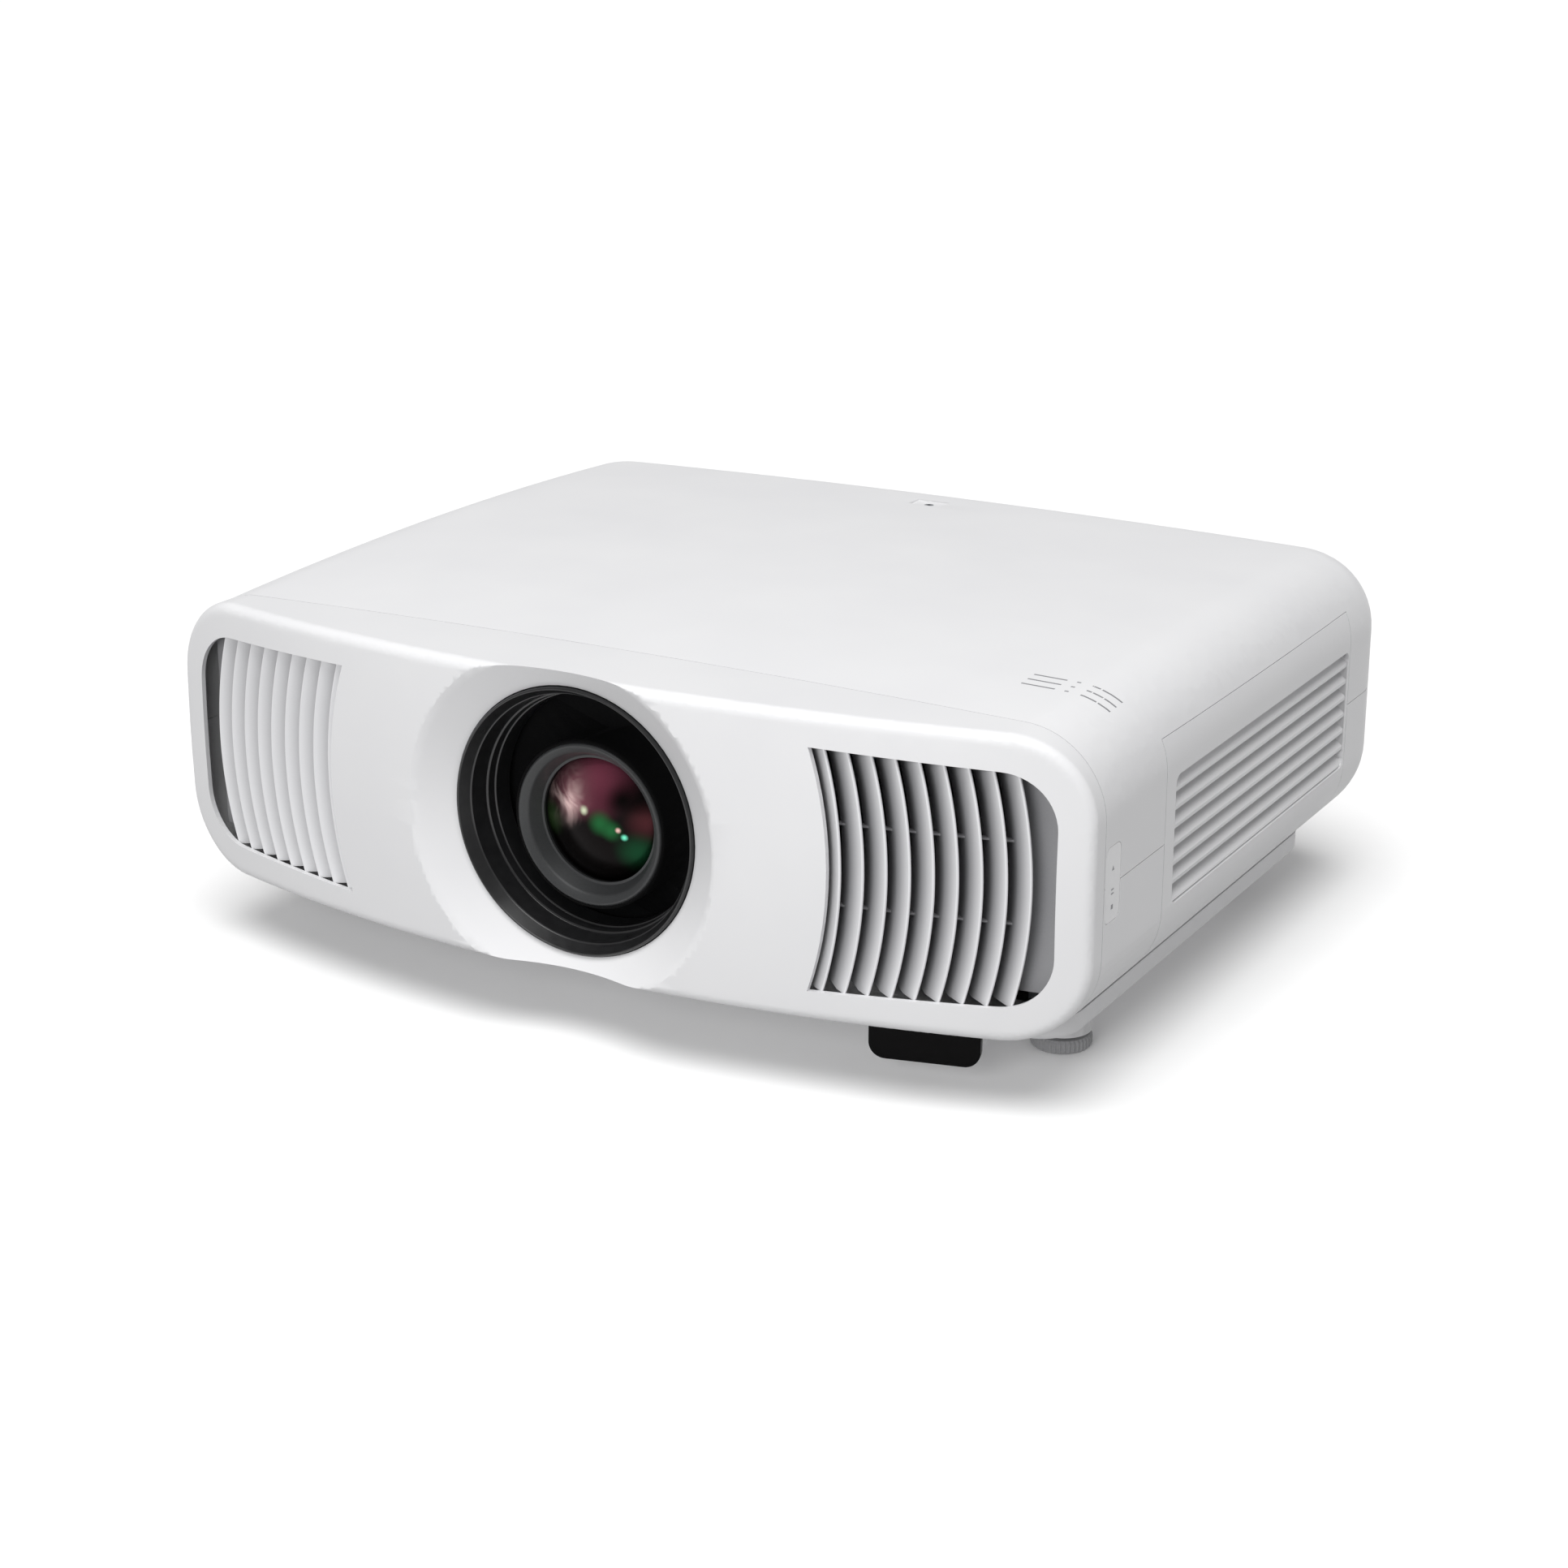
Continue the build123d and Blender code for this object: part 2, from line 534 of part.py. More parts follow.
# ---- chassis and boards ----
def chassis_tray():
    """Folded sheet-steel tray that carries the inner parts."""
    tray = block((-TRAY_X, TRAY_X), TRAY_Y, (TRAY_Z, TRAY_Z + SHEET))
    for x in (-1, 1):
        tray = tray + block(sorted((x * TRAY_X, x * (TRAY_X - SHEET))), TRAY_Y, (TRAY_Z, 52))
        for y in TRAY_SCREWS_Y:
            tray = tray - z_rod(1.6, (20, 40), x * TRAY_SCREW_X, y)
        tray = tray - z_rod(8.6, (20, 40), x * FOOT_X, FOOT_Y)
        tray = tray - block(sorted((x * 202, x * 220)), (FOOT_Y - 10, FOOT_Y + 10), (25, 60))
    for x, y in ((-200, 60), (-60, 60), (-200, 146), (-60, 146)):
        tray = tray + z_rod(3, (TRAY_Z, 42), x, y)
    for x, y in ((-36, 96), (196, 108), (-36, 146), (196, 146)):
        tray = tray + z_rod(3, (TRAY_Z, PANEL_Z - BOARD_DROP), x, y)
    for y in (-MOUNT_Y, MOUNT_Y):
        for x in (-1, 1):
            tray = tray - z_rod(4.2, (20, 40), x * MOUNT_X, y)
    return tray


def bracket_inserts():
    """Threaded inserts for a ceiling bracket."""
    inserts = []
    for x in (-1, 1):
        for y in (-MOUNT_Y, MOUNT_Y):
            sleeve = z_rod(3.5, (PAN_BOTTOM_Z, 38), x * MOUNT_X, y)
            inserts.append(sleeve - z_rod(INSERT_HOLE_R, (20, 36), x * MOUNT_X, y))
    return group(inserts)


def case_screws():
    """Pan-head screws: one in the notch of the top cover, four up through the base pan."""
    notch_mid = sum(NOTCH_Y) / 2
    head_z = NOTCH_Z - 1.18
    screws = [z_rod(1.5, (NOTCH_Z - 4, head_z + 0.2), 0, notch_mid) +
              z_rod(2.8, (head_z, NOTCH_Z - 0.1), 0, notch_mid)]
    for x in (-TRAY_SCREW_X, TRAY_SCREW_X):
        for y in TRAY_SCREWS_Y:
            shank = z_rod(1.5, (PAN_BOTTOM_Z - 0.4, TRAY_Z + 4), x, y)
            screws.append(shank + z_rod(2.9, (PAN_BOTTOM_Z - 1.8, PAN_BOTTOM_Z - 0.02), x, y))
    return group(screws)


def foot_nuts():
    nuts = []
    for x in (-1, 1):
        nut = extrude(Pos(x * FOOT_X, FOOT_Y, CASE_BOTTOM_Z) * RegularPolygon(6.5, 6), 4)
        nuts.append(nut - z_rod(STUD_R + RUNNING, (20, 60), x * FOOT_X, FOOT_Y))
    return group(nuts)


def power_supply():
    """Board with a transformer, chokes and capacitors."""
    board = block((-206, -52), (54, 152), (42, 43.6))
    parts = [block((-190, -150), (70, 110), (43.6, 78)), block((-142, -116), (66, 92), (43.6, 66)),
             block((-84, -60), (100, 140), (43.6, 74))]
    for i in range(4):
        parts.append(z_rod(9, (43.6, 76), -180 + 22 * i, 130))
    return joined([board] + parts)


def main_board():
    """Signal board behind the connectors, with its heat spreader."""
    low = PANEL_Z - BOARD_DROP
    board = block((-44, 206), (88, 198), (low, low + 1.6))
    chips = [block((60 + 36 * i, 84 + 36 * i), (130, 154), (low + 1.6, low + 3.8)) for i in range(3)]
    fins = [block((64 + 3 * i, 65.2 + 3 * i), (132, 152), (low + 3.8, low + 15.4)) for i in range(6)]
    return joined([board] + chips + fins)


def laser_module():
    """Light source block with its cooling plate."""
    base = block((-196, -120), (-96, -20), (60, 130))
    ports = [y_rod(6, (-20, -10), -180 + 22 * i, 95) for i in range(3)]
    feet = [block((-196 + 66 * i, -186 + 66 * i), (-96, -20), (TRAY_Z + SHEET, 60)) for i in range(2)]
    return joined([base] + ports + feet)


def heat_sink():
    """Finned aluminium block behind the left grille."""
    base = block((-196, -120), (-104, -96.2), (52, 148))
    fins = [block((-196 + 5.4 * i, -194.4 + 5.4 * i), (-146, -104), (52, 148)) for i in range(15)]
    return joined([base] + fins)


def phosphor_housing():
    """Two-walled housing around the phosphor wheel."""
    walls = [block((-112, -110), (-10, 80), (60, 160)), block((-72, -70), (-10, 80), (60, 160)),
             block((-112, -70), (-10, 80), (58, 60)), block((-112, -106), (10, 50), (TRAY_Z + SHEET, 58.5))]
    housing = joined(walls)
    return housing - x_rod(10, (-80, -60), 10, 104)


def wheel_motor():
    body = x_rod(14, (-110, -98), WHEEL_Y, WHEEL_Z)
    return body - x_rod(2 + RUNNING, (-120, -90), WHEEL_Y, WHEEL_Z)


def phosphor_wheel():
    disc = x_rod(WHEEL_R, (-92, -90.5), WHEEL_Y, WHEEL_Z) + x_rod(9, (-96, -88), WHEEL_Y, WHEEL_Z)
    return disc + x_rod(2, (-109, -90), WHEEL_Y, WHEEL_Z)


def light_path():
    """Closed housing that folds the light round to the prism."""
    duct = block((-69.6, 70), (26, 52), (84, 126)) + block((-69.6, -46), (0, 27), (84, 126))
    foot = block((-40, 40), (40, 50), (TRAY_Z + SHEET, 84))
    bridge = block((-24, 24), (17, 41), (TRAY_Z + SHEET, 60))
    seat = block((-24, 24), (-28, 18), (TRAY_Z + SHEET, LENS_AXIS_Z - 17))
    return joined([duct, foot, bridge, seat])


def prism_block():
    """Combining prism on its seat."""
    return block((-17, 17), (-21, 13), (LENS_AXIS_Z - 17, LENS_AXIS_Z + 17))


def light_valves():
    """Three panels facing the prism's sides."""
    z = (LENS_AXIS_Z - 14, LENS_AXIS_Z + 14)
    sides = [block((-21, -18.4), (-18, 10), z), block((18.4, 21), (-18, 10), z)]
    return group(sides + [block((-14, 14), (14.4, 17), z)])


# ---- lens shift mechanism ----
def spur(teeth, length, y0, x, z, bore, turn=0.0, play=0.30):
    """Straight-sided gear on a Y-parallel axis. play is taken off the width of each tooth."""
    pitch_r = MODULE * teeth / 2
    tip_r, root_r = pitch_r + 0.9 * MODULE, pitch_r - 1.25 * MODULE
    flank = math.tan(math.radians(20))
    half = math.pi * MODULE / 4 - play / 2
    tip_half, root_half = half - 0.9 * MODULE * flank, half + 1.25 * MODULE * flank
    outline = []
    for i in range(teeth):
        centre = math.radians(360 / teeth * i + turn)
        for radius, side in ((root_r, -root_half), (tip_r, -tip_half), (tip_r, tip_half), (root_r, root_half)):
            angle = centre + side / radius
            outline.append((radius * math.cos(angle), radius * math.sin(angle)))
    wheel = extrude(make_face(Polyline(*outline, close=True)), length)
    if bore:
        wheel = wheel - z_rod(bore, (-1, length + 1), 0, 0)
    return Pos(x, y0 + length, z) * Rot(90, 0, 0) * wheel


def shaft_pinion(teeth, gear_y, shaft_y, x, z, turn):
    """Pinion with its own shaft."""
    gear = spur(teeth, gear_y[1] - gear_y[0], gear_y[0], x, z, 0, turn)
    return gear + y_rod(PIN_R, shaft_y, x, z)


def rack(thick, height):
    """Rack along X with its teeth towards +Z, pitch line at height 0, a gap at its middle."""
    pitch = math.pi * MODULE
    flank = math.tan(math.radians(20))
    half = pitch / 4 - 0.15
    root, tip = -1.35, 0.9
    end = pitch * RACK_TEETH / 2
    outline = [(end, root), (end, -height), (-end, -height), (-end, root)]
    for i in range(RACK_TEETH):
        centre = (i - (RACK_TEETH - 1) / 2) * pitch
        outline += [(centre - half + root * flank, root), (centre - half + tip * flank, tip),
                    (centre + half - tip * flank, tip), (centre + half - root * flank, root)]
    return extrude(Plane.XZ * make_face(Polyline(*outline, close=True)), thick, dir=(0, 1, 0))


def lens_bracket():
    """Fixed plate that carries the shift slides and the vertical drive."""
    plate = block((-96, 96), LENS_BRACKET_Y, (TRAY_Z + SHEET, 172))
    plate = plate - y_rod(57, (-80, -50), 0, LENS_AXIS_Z + 5)
    plate = plate + block((-96, 96), (LENS_BRACKET_Y[1], -36), (TRAY_Z + SHEET, TRAY_Z + 5))
    plate = plate - y_rod(PIN_R + RUNNING, (-80, -50), V_PINION_X, V_PINION_Z)
    for x in (-1, 1):
        rail = block(sorted((x * 62, x * 68)), (V_PLATE_Y[1] + 0.1, LENS_BRACKET_Y[0]), (50, 160))
        plate = plate + rail
    return plate


def vertical_shift_plate():
    low, high = LENS_AXIS_Z - 54, LENS_AXIS_Z + 50
    plate = block((-72, 72), V_PLATE_Y, (low, high)) - y_rod(46.5, (-80, -50), 0, LENS_AXIS_Z)
    teeth = rack(V_PLATE_Y[1] - V_PLATE_Y[0], 5.0)
    teeth = Pos(V_RACK_X, V_PLATE_Y[0], LENS_AXIS_Z) * Rot(0, -90, 0) * teeth
    plate = plate + teeth
    tab = block((-16, 16), V_PLATE_Y, (high, H_PINION_Z + 5))
    plate = plate + tab
    plate = plate - y_rod(PIN_R + RUNNING, (-80, -50), H_PINION_X, H_PINION_Z)
    for z in (LENS_AXIS_Z - 50, LENS_AXIS_Z + 44):
        plate = plate + block((-50, 50), (H_PLATE_Y[1] + 0.1, V_PLATE_Y[0]), (z, z + 4))
    return plate


def horizontal_shift_plate():
    plate = block((-62, 62), H_PLATE_Y, (LENS_AXIS_Z - 51, LENS_AXIS_Z + 49.5))
    plate = plate - y_rod(TUBE_R + 0.1, (-80, -50), 0, LENS_AXIS_Z)
    teeth = Pos(0, H_PLATE_Y[0], H_RACK_Z) * rack(H_PLATE_Y[1] - H_PLATE_Y[0], 5.0)
    return plate + teeth


def vertical_motor():
    bore = y_rod(PIN_R + RUNNING, (-70, -46), V_PINION_X, V_PINION_Z)
    return y_rod(9, (LENS_BRACKET_Y[1], -36), V_PINION_X, V_PINION_Z) - bore


def horizontal_motor():
    """Motor in front of the plates, held by two pillars from the vertical plate."""
    body = y_rod(7, (-98, -78), H_PINION_X, H_PINION_Z)
    body = body - y_rod(PIN_R + RUNNING, (-90, -70), H_PINION_X, H_PINION_Z)
    ears = block((-16, 16), (-80, -78), (H_PINION_Z - 1, H_PINION_Z + 5))
    body = body + (ears - y_rod(4, (-90, -70), H_PINION_X, H_PINION_Z))
    for x in (-13, 13):
        body = body + y_rod(1.8, (-79, V_PLATE_Y[0]), x, H_PINION_Z + 2.6)
    return body


# ---- lens ----
def lens_barrel():
    """Front barrel with its funnel, tube and mounting flange."""
    profile = [(BARREL_R - 1.2, BARREL_Y), (BARREL_R, BARREL_Y + 1.2), (BARREL_R, -152), (TUBE_R, -148),
               (TUBE_R, -79),
               (FLANGE_R, -79), (FLANGE_R, -73.2), (TUBE_R, -73.2), (TUBE_R, -50), (TUBE_R - 2.5, -50),
               (TUBE_R - 2.5, -176), (GLASS_R + 0.3, -176), (GLASS_R + 0.3, GLASS_Y)]
    tube = turned(profile, z=LENS_AXIS_Z)
    for side in (-1, 1):
        x, z = drive_place(side)
        tube = tube - y_rod(PIN_R + RUNNING, (-90, -70), x, z)
    baffle = y_rod(74, (-173.6, -172.4), 0, LENS_AXIS_Z)
    baffle = baffle & block((-80, 80), (-180, -160), (LENS_AXIS_Z - 58, LENS_AXIS_Z + 58))
    return tube + (baffle - y_rod(BARREL_R - 0.5, (-180, -160), 0, LENS_AXIS_Z))


def front_glass():
    """Domed front element."""
    edge_y, apex_y = GLASS_Y + 1.5, GLASS_Y - 9.0
    dome = ThreePointArc((0, apex_y), (GLASS_R * 0.55, apex_y + 2.8), (GLASS_R, edge_y))
    rest = Polyline((GLASS_R, edge_y), (GLASS_R, edge_y + 7), (0, edge_y + 7), (0, apex_y))
    return Pos(0, 0, LENS_AXIS_Z) * revolve(make_face([dome, rest]), axis=Axis.Y, revolution_arc=360)


def rear_glass():
    bulge = ThreePointArc((0, -49), (16, -50.2), (32, -54))
    rest = Polyline((32, -54), (32, -62), (0, -62), (0, -49))
    return Pos(0, 0, LENS_AXIS_Z) * revolve(make_face([bulge, rest]), axis=Axis.Y, revolution_arc=360)


def geared_ring(y):
    """Toothed ring that turns on the lens tube."""
    return spur(RING_TEETH, y[1] - y[0], y[0], 0, LENS_AXIS_Z, TUBE_R + RUNNING)


def drive_place(side):
    angle = math.radians(DRIVE_ANGLE)
    return side * DRIVE_R * math.cos(angle), LENS_AXIS_Z + DRIVE_R * math.sin(angle)


def drive_motor(side):
    x, z = drive_place(side)
    return y_rod(7.5, (-100, -79), x, z) - y_rod(PIN_R + RUNNING, (-105, -84), x, z)


def drive_motors():
    """Zoom and focus motors, seated on the lens flange."""
    return group([drive_motor(1), drive_motor(-1)])


def drive_pinion(side, gear_y):
    """Small gear meshing with a lens ring: a gap faces the ring's nearest tooth."""
    x, z = drive_place(side)
    facing = DRIVE_ANGLE if side > 0 else 180 - DRIVE_ANGLE
    ring_step, own_step = 360 / RING_TEETH, 360 / DRIVE_TEETH
    tooth_ahead = round(facing / ring_step) * ring_step - facing
    turn = facing + 180 - tooth_ahead * RING_TEETH / DRIVE_TEETH + own_step / 2
    return shaft_pinion(DRIVE_TEETH, gear_y, (gear_y[0], -84.2), x, z, turn)


# ---- fans ----
def fan_frame():
    """Square frame with its hub seat, centred, axis along Z."""
    frame = block((-FAN_HALF, FAN_HALF), (-FAN_HALF, FAN_HALF), (-FAN_DEPTH / 2, FAN_DEPTH / 2))
    frame = fillet(frame.edges().filter_by(Axis.Z), 4)
    frame = frame - z_rod(FAN_BORE, (-20, 20), 0, 0)
    for x in (-1, 1):
        for y in (-1, 1):
            frame = frame - z_rod(2.1, (-20, 20), x * 35.8, y * 35.8)
    seat = z_rod(15, (-FAN_DEPTH / 2, -FAN_DEPTH / 2 + 2), 0, 0)
    for i in range(4):
        arm = block((10, FAN_BORE + 1), (-1.5, 1.5), (-FAN_DEPTH / 2, -FAN_DEPTH / 2 + 2))
        seat = seat + (Rot(0, 0, 45 + 90 * i) * arm)
    return frame + seat


def fan_rotor():
    """Hub and seven pitched blades, centred, axis along Z."""
    rotor = z_rod(15, (-FAN_DEPTH / 2 + 3, FAN_DEPTH / 2 - 1), 0, 0)
    for i in range(7):
        blade = Pos(25, 0, 1) * Rot(42, 0, 0) * Box(24, 22, 1.4)
        blade = Rot(0, 0, i * 360 / 7) * blade
        rotor = rotor + (blade & z_rod(36.5, (-9, 11), 0, 0))
    return rotor


def placed_fan(shape, place, axis):
    x, y, z = place
    turn = Rot(90, 0, 0) if axis == "y" else Rot(0, -90, 0)
    return Pos(x, y, z) * turn * shape


# ---- write the pieces ----
def build_all():
    shell = case_shell()
    nodes = {"front_bezel": front_bezel(), "top_cover": top_cover(shell), "lower_case": lower_case(shell),
             "base_pan": base_pan(), "filter_cover": filter_cover(shell), "filter_element": filter_element(),
             "lens_hood": lens_hood(), "rear_panel": rear_panel(), "control_plate": control_plate()}
    insert = grille_insert()
    nodes["right_grille"] = insert
    nodes["left_grille"] = mirror(insert, about=Plane.YZ)
    nodes["indicator_window"] = indicator_region(0.2) & (case_blank(0) - case_blank(1.6))
    nodes["receiver_window"] = receiver_window()
    nodes["rear_feet"] = group([rear_foot(-REAR_FOOT_X), rear_foot(REAR_FOOT_X)])
    nodes["left_foot"] = front_foot(-FOOT_X)
    nodes["right_foot"] = front_foot(FOOT_X)
    nodes["foot_nuts"] = foot_nuts()
    for name, radius, y, z in button_places():
        nodes[name] = button(radius, y, z)
    nodes.update({"hdmi_sockets": hdmi_sockets(), "usb_sockets": usb_sockets(), "lan_socket": lan_socket(),
                  "ac_inlet": ac_inlet(),
                  "chassis_tray": chassis_tray(), "bracket_inserts": bracket_inserts(),
                  "case_screws": case_screws(), "power_supply": power_supply(), "main_board": main_board(),
                  "laser_module": laser_module(), "heat_sink": heat_sink(),
                  "phosphor_housing": phosphor_housing(), "wheel_motor": wheel_motor(),
                  "phosphor_wheel": phosphor_wheel(), "light_path": light_path(), "prism_block": prism_block(),
                  "light_valves": light_valves(), "lens_bracket": lens_bracket(),
                  "vertical_shift_plate": vertical_shift_plate(),
                  "horizontal_shift_plate": horizontal_shift_plate(),
                  "vertical_motor": vertical_motor(), "horizontal_motor": horizontal_motor(),
                  "lens_barrel": lens_barrel(), "front_glass": front_glass(), "rear_glass": rear_glass(),
                  "zoom_ring": geared_ring(ZOOM_Y),
                  "focus_ring": geared_ring(FOCUS_Y), "drive_motors": drive_motors(),
                  "zoom_pinion": drive_pinion(1, ZOOM_Y),
                  "focus_pinion": drive_pinion(-1, FOCUS_Y)})
    nodes["vertical_pinion"] = shaft_pinion(SHIFT_TEETH, V_PLATE_Y, (V_PLATE_Y[0], -46.2), V_PINION_X,
                                            V_PINION_Z, 0)
    nodes["horizontal_pinion"] = shaft_pinion(SHIFT_TEETH, H_PLATE_Y, (-89.8, H_PLATE_Y[1]), H_PINION_X,
                                              H_PINION_Z, 90)
    nodes["fan_frames"] = group([placed_fan(fan_frame(), place, axis) for place, axis in FANS.values()])
    for name, (place, axis) in FANS.items():
        nodes[name] = placed_fan(fan_rotor(), place, axis)
    return nodes


os.makedirs("parts", exist_ok=True)
for node, shape in build_all().items():
    save(shape, node)
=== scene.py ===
import json
import math

import bmesh
import bpy
from mathutils import Matrix, Vector
from mathutils.bvhtree import BVHTree

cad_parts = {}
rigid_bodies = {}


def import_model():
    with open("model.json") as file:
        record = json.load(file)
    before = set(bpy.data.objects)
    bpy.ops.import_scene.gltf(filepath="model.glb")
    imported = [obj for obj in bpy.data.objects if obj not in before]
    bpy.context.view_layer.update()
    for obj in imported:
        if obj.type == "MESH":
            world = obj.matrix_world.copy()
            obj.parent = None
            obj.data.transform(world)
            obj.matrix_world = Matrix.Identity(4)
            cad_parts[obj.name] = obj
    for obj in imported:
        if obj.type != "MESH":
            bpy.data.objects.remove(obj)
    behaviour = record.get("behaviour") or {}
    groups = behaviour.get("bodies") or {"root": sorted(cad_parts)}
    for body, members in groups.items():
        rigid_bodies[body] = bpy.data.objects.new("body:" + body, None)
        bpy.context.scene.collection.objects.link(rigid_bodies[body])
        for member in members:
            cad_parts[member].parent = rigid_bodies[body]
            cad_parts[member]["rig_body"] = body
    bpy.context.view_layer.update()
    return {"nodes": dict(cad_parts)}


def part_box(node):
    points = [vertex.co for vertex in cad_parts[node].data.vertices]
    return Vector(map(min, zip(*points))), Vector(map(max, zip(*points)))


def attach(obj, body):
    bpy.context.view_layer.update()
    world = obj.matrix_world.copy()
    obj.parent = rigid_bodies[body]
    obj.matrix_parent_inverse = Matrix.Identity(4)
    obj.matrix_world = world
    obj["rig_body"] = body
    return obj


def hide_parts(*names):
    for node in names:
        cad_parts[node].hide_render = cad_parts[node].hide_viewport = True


# Home-theatre projector. Pieces are drawn in millimetres in the frame's own axes: the lens looks
# towards -Y, +X is on the right of someone facing the lens, +Z is up.
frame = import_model()
MM = 0.001


def linear(code):
    """Linear colour of an sRGB hex value."""
    channels = [int(code[i:i + 2], 16) / 255 for i in (0, 2, 4)]
    return [c / 12.92 if c <= 0.04045 else ((c + 0.055) / 1.055) ** 2.4 for c in channels] + [1.0]


def add(material, kind, settings, links=None):
    """Add a node. Settings are its properties or socket values, links join sources to its sockets."""
    made = material.node_tree.nodes.new(kind)
    for key, value in settings.items():
        if isinstance(key, str) and hasattr(made, key):
            setattr(made, key, value)
        else:
            made.inputs[key].default_value = value
    for key, source in (links or {}).items():
        material.node_tree.links.new(source, made.inputs[key])
    return made


def start(name, settings):
    """A new material, its shader and the object coordinates that its patterns read."""
    material = bpy.data.materials.new(name)
    material.use_nodes = True
    shader = material.node_tree.nodes["Principled BSDF"]
    for key, value in settings.items():
        shader.inputs[key].default_value = value
    return material, shader, add(material, "ShaderNodeTexCoord", {}).outputs["Object"]


def finish_node(material, *nodes):
    """Give CAD nodes whose shape is right their material."""
    for node in nodes:
        materials = frame["nodes"][node].data.materials
        materials.clear()
        materials.append(material)


# Hot-dip zinc: grey spangles about 7 mm across, a little brighter or duller from one to the next.
galvanised, shader, place = start("galvanised_steel_sheet", {"Metallic": 1.0, "Roughness": 0.42})
spangle = add(galvanised, "ShaderNodeTexVoronoi", {"Scale": 1 / (7 * MM)}, {"Vector": place})
ramp = add(galvanised, "ShaderNodeValToRGB", {}, {"Fac": spangle.outputs["Color"]})
ramp.color_ramp.elements[0].color = linear("A9ADB0")
ramp.color_ramp.elements[1].color = linear("C9CCCE")
dull = add(galvanised, "ShaderNodeMapRange", {"To Min": 0.34, "To Max": 0.52},
           {"Value": spangle.outputs["Color"]})
galvanised.node_tree.links.new(ramp.outputs["Color"], shader.inputs["Base Color"])
galvanised.node_tree.links.new(dull.outputs["Result"], shader.inputs["Roughness"])
finish_node(galvanised, "chassis_tray", "lens_bracket", "vertical_shift_plate", "horizontal_shift_plate")

# ---- inserts, nuts and screws ----
# Turned brass inserts and nuts, pressed into the pan. Zinc-plated steel screws with a hexagon socket:
# one points down into the top cover, four point up from below.
brass, shader, place = start("turned_brass", {"Metallic": 1.0, "Roughness": 0.3})
# Turning marks: fine rings along the axis, drawn 0.5 mm apart so that they show. The bands of this
# pattern are 0.314 apart at a scale of 1.
turning = add(brass, "ShaderNodeTexWave",
              {"bands_direction": "Z", "Scale": 0.314 / (0.5 * MM), "Distortion": 0.6},
              {"Vector": place})
ramp = add(brass, "ShaderNodeValToRGB", {}, {"Fac": turning.outputs["Fac"]})
ramp.color_ramp.elements[0].color = linear("B8924E")
ramp.color_ramp.elements[1].color = linear("D9B873")
bump = add(brass, "ShaderNodeBump", {"Strength": 0.3, "Distance": 0.03 * MM},
           {"Height": turning.outputs["Fac"]})
brass.node_tree.links.new(ramp.outputs["Color"], shader.inputs["Base Color"])
brass.node_tree.links.new(bump.outputs["Normal"], shader.inputs["Normal"])
finish_node(brass, "bracket_inserts", "foot_nuts")


def piece(name, bm, material, stands_for=(), body=None, corner=35.0):
    """Turn a closed mesh drawn in millimetres into a piece that rides on its body."""
    bmesh.ops.remove_doubles(bm, verts=bm.verts, dist=0.002)
    bmesh.ops.recalc_face_normals(bm, faces=bm.faces)
    bmesh.ops.scale(bm, vec=(MM, MM, MM), verts=bm.verts)
    mesh = bpy.data.meshes.new(name)
    bm.to_mesh(mesh)
    bm.free()
    mesh.shade_smooth()
    mesh.set_sharp_from_angle(angle=math.radians(corner))
    mesh.materials.append(material)
    made = bpy.data.objects.new(name, mesh)
    bpy.context.scene.collection.objects.link(made)
    if stands_for:
        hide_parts(*stands_for)
    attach(made, body or frame["nodes"][stands_for[0]]["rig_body"])
    return made


def turned(points, rounds, steps):
    """A solid turned about the Y axis from radius and Y, with some of its corners rounded."""
    bm = bmesh.new()
    corners = [bm.verts.new((r, y, 0)) for r, y in points]
    bm.faces.new(corners)
    for corner, radius in rounds:
        bmesh.ops.bevel(bm, geom=[corners[corner]], offset=radius, segments=4, profile=0.5, affect="VERTICES",
                        material=-1)
    bmesh.ops.delete(bm, geom=bm.faces[:], context="FACES_ONLY")
    on_axis = [e for e in bm.edges if all(v.co.x < 1e-6 for v in e.verts)]
    bmesh.ops.delete(bm, geom=on_axis, context="EDGES")
    bmesh.ops.spin(bm, geom=bm.verts[:] + bm.edges[:], cent=(0, 0, 0), axis=(0, 1, 0), angle=math.tau,
                   steps=steps, use_merge=True)
    bmesh.ops.remove_doubles(bm, verts=bm.verts, dist=0.002)
    return bm


def moved(bm, matrix):
    """The same mesh, put in its place."""
    bmesh.ops.transform(bm, matrix=matrix, verts=bm.verts)
    return bm


def gathered(parts):
    """Join several meshes into one."""
    whole = bmesh.new()
    for part in parts:
        mesh = bpy.data.meshes.new("part")
        part.to_mesh(mesh)
        part.free()
        whole.from_mesh(mesh)
        bpy.data.meshes.remove(mesh)
    return whole


# Zinc plating, clear passivated: bright grey with a faint blue cast and cloudy patches.
zinc, shader, place = start("zinc_plated_steel", {"Metallic": 1.0, "Roughness": 0.28})
cloud = add(zinc, "ShaderNodeTexNoise", {"Scale": 1 / (2 * MM), "Detail": 3.0}, {"Vector": place})
ramp = add(zinc, "ShaderNodeValToRGB", {}, {"Fac": cloud.outputs["Fac"]})
ramp.color_ramp.elements[0].color = linear("9DA2A8")
ramp.color_ramp.elements[1].color = linear("C6CAD0")
zinc.node_tree.links.new(ramp.outputs["Color"], shader.inputs["Base Color"])


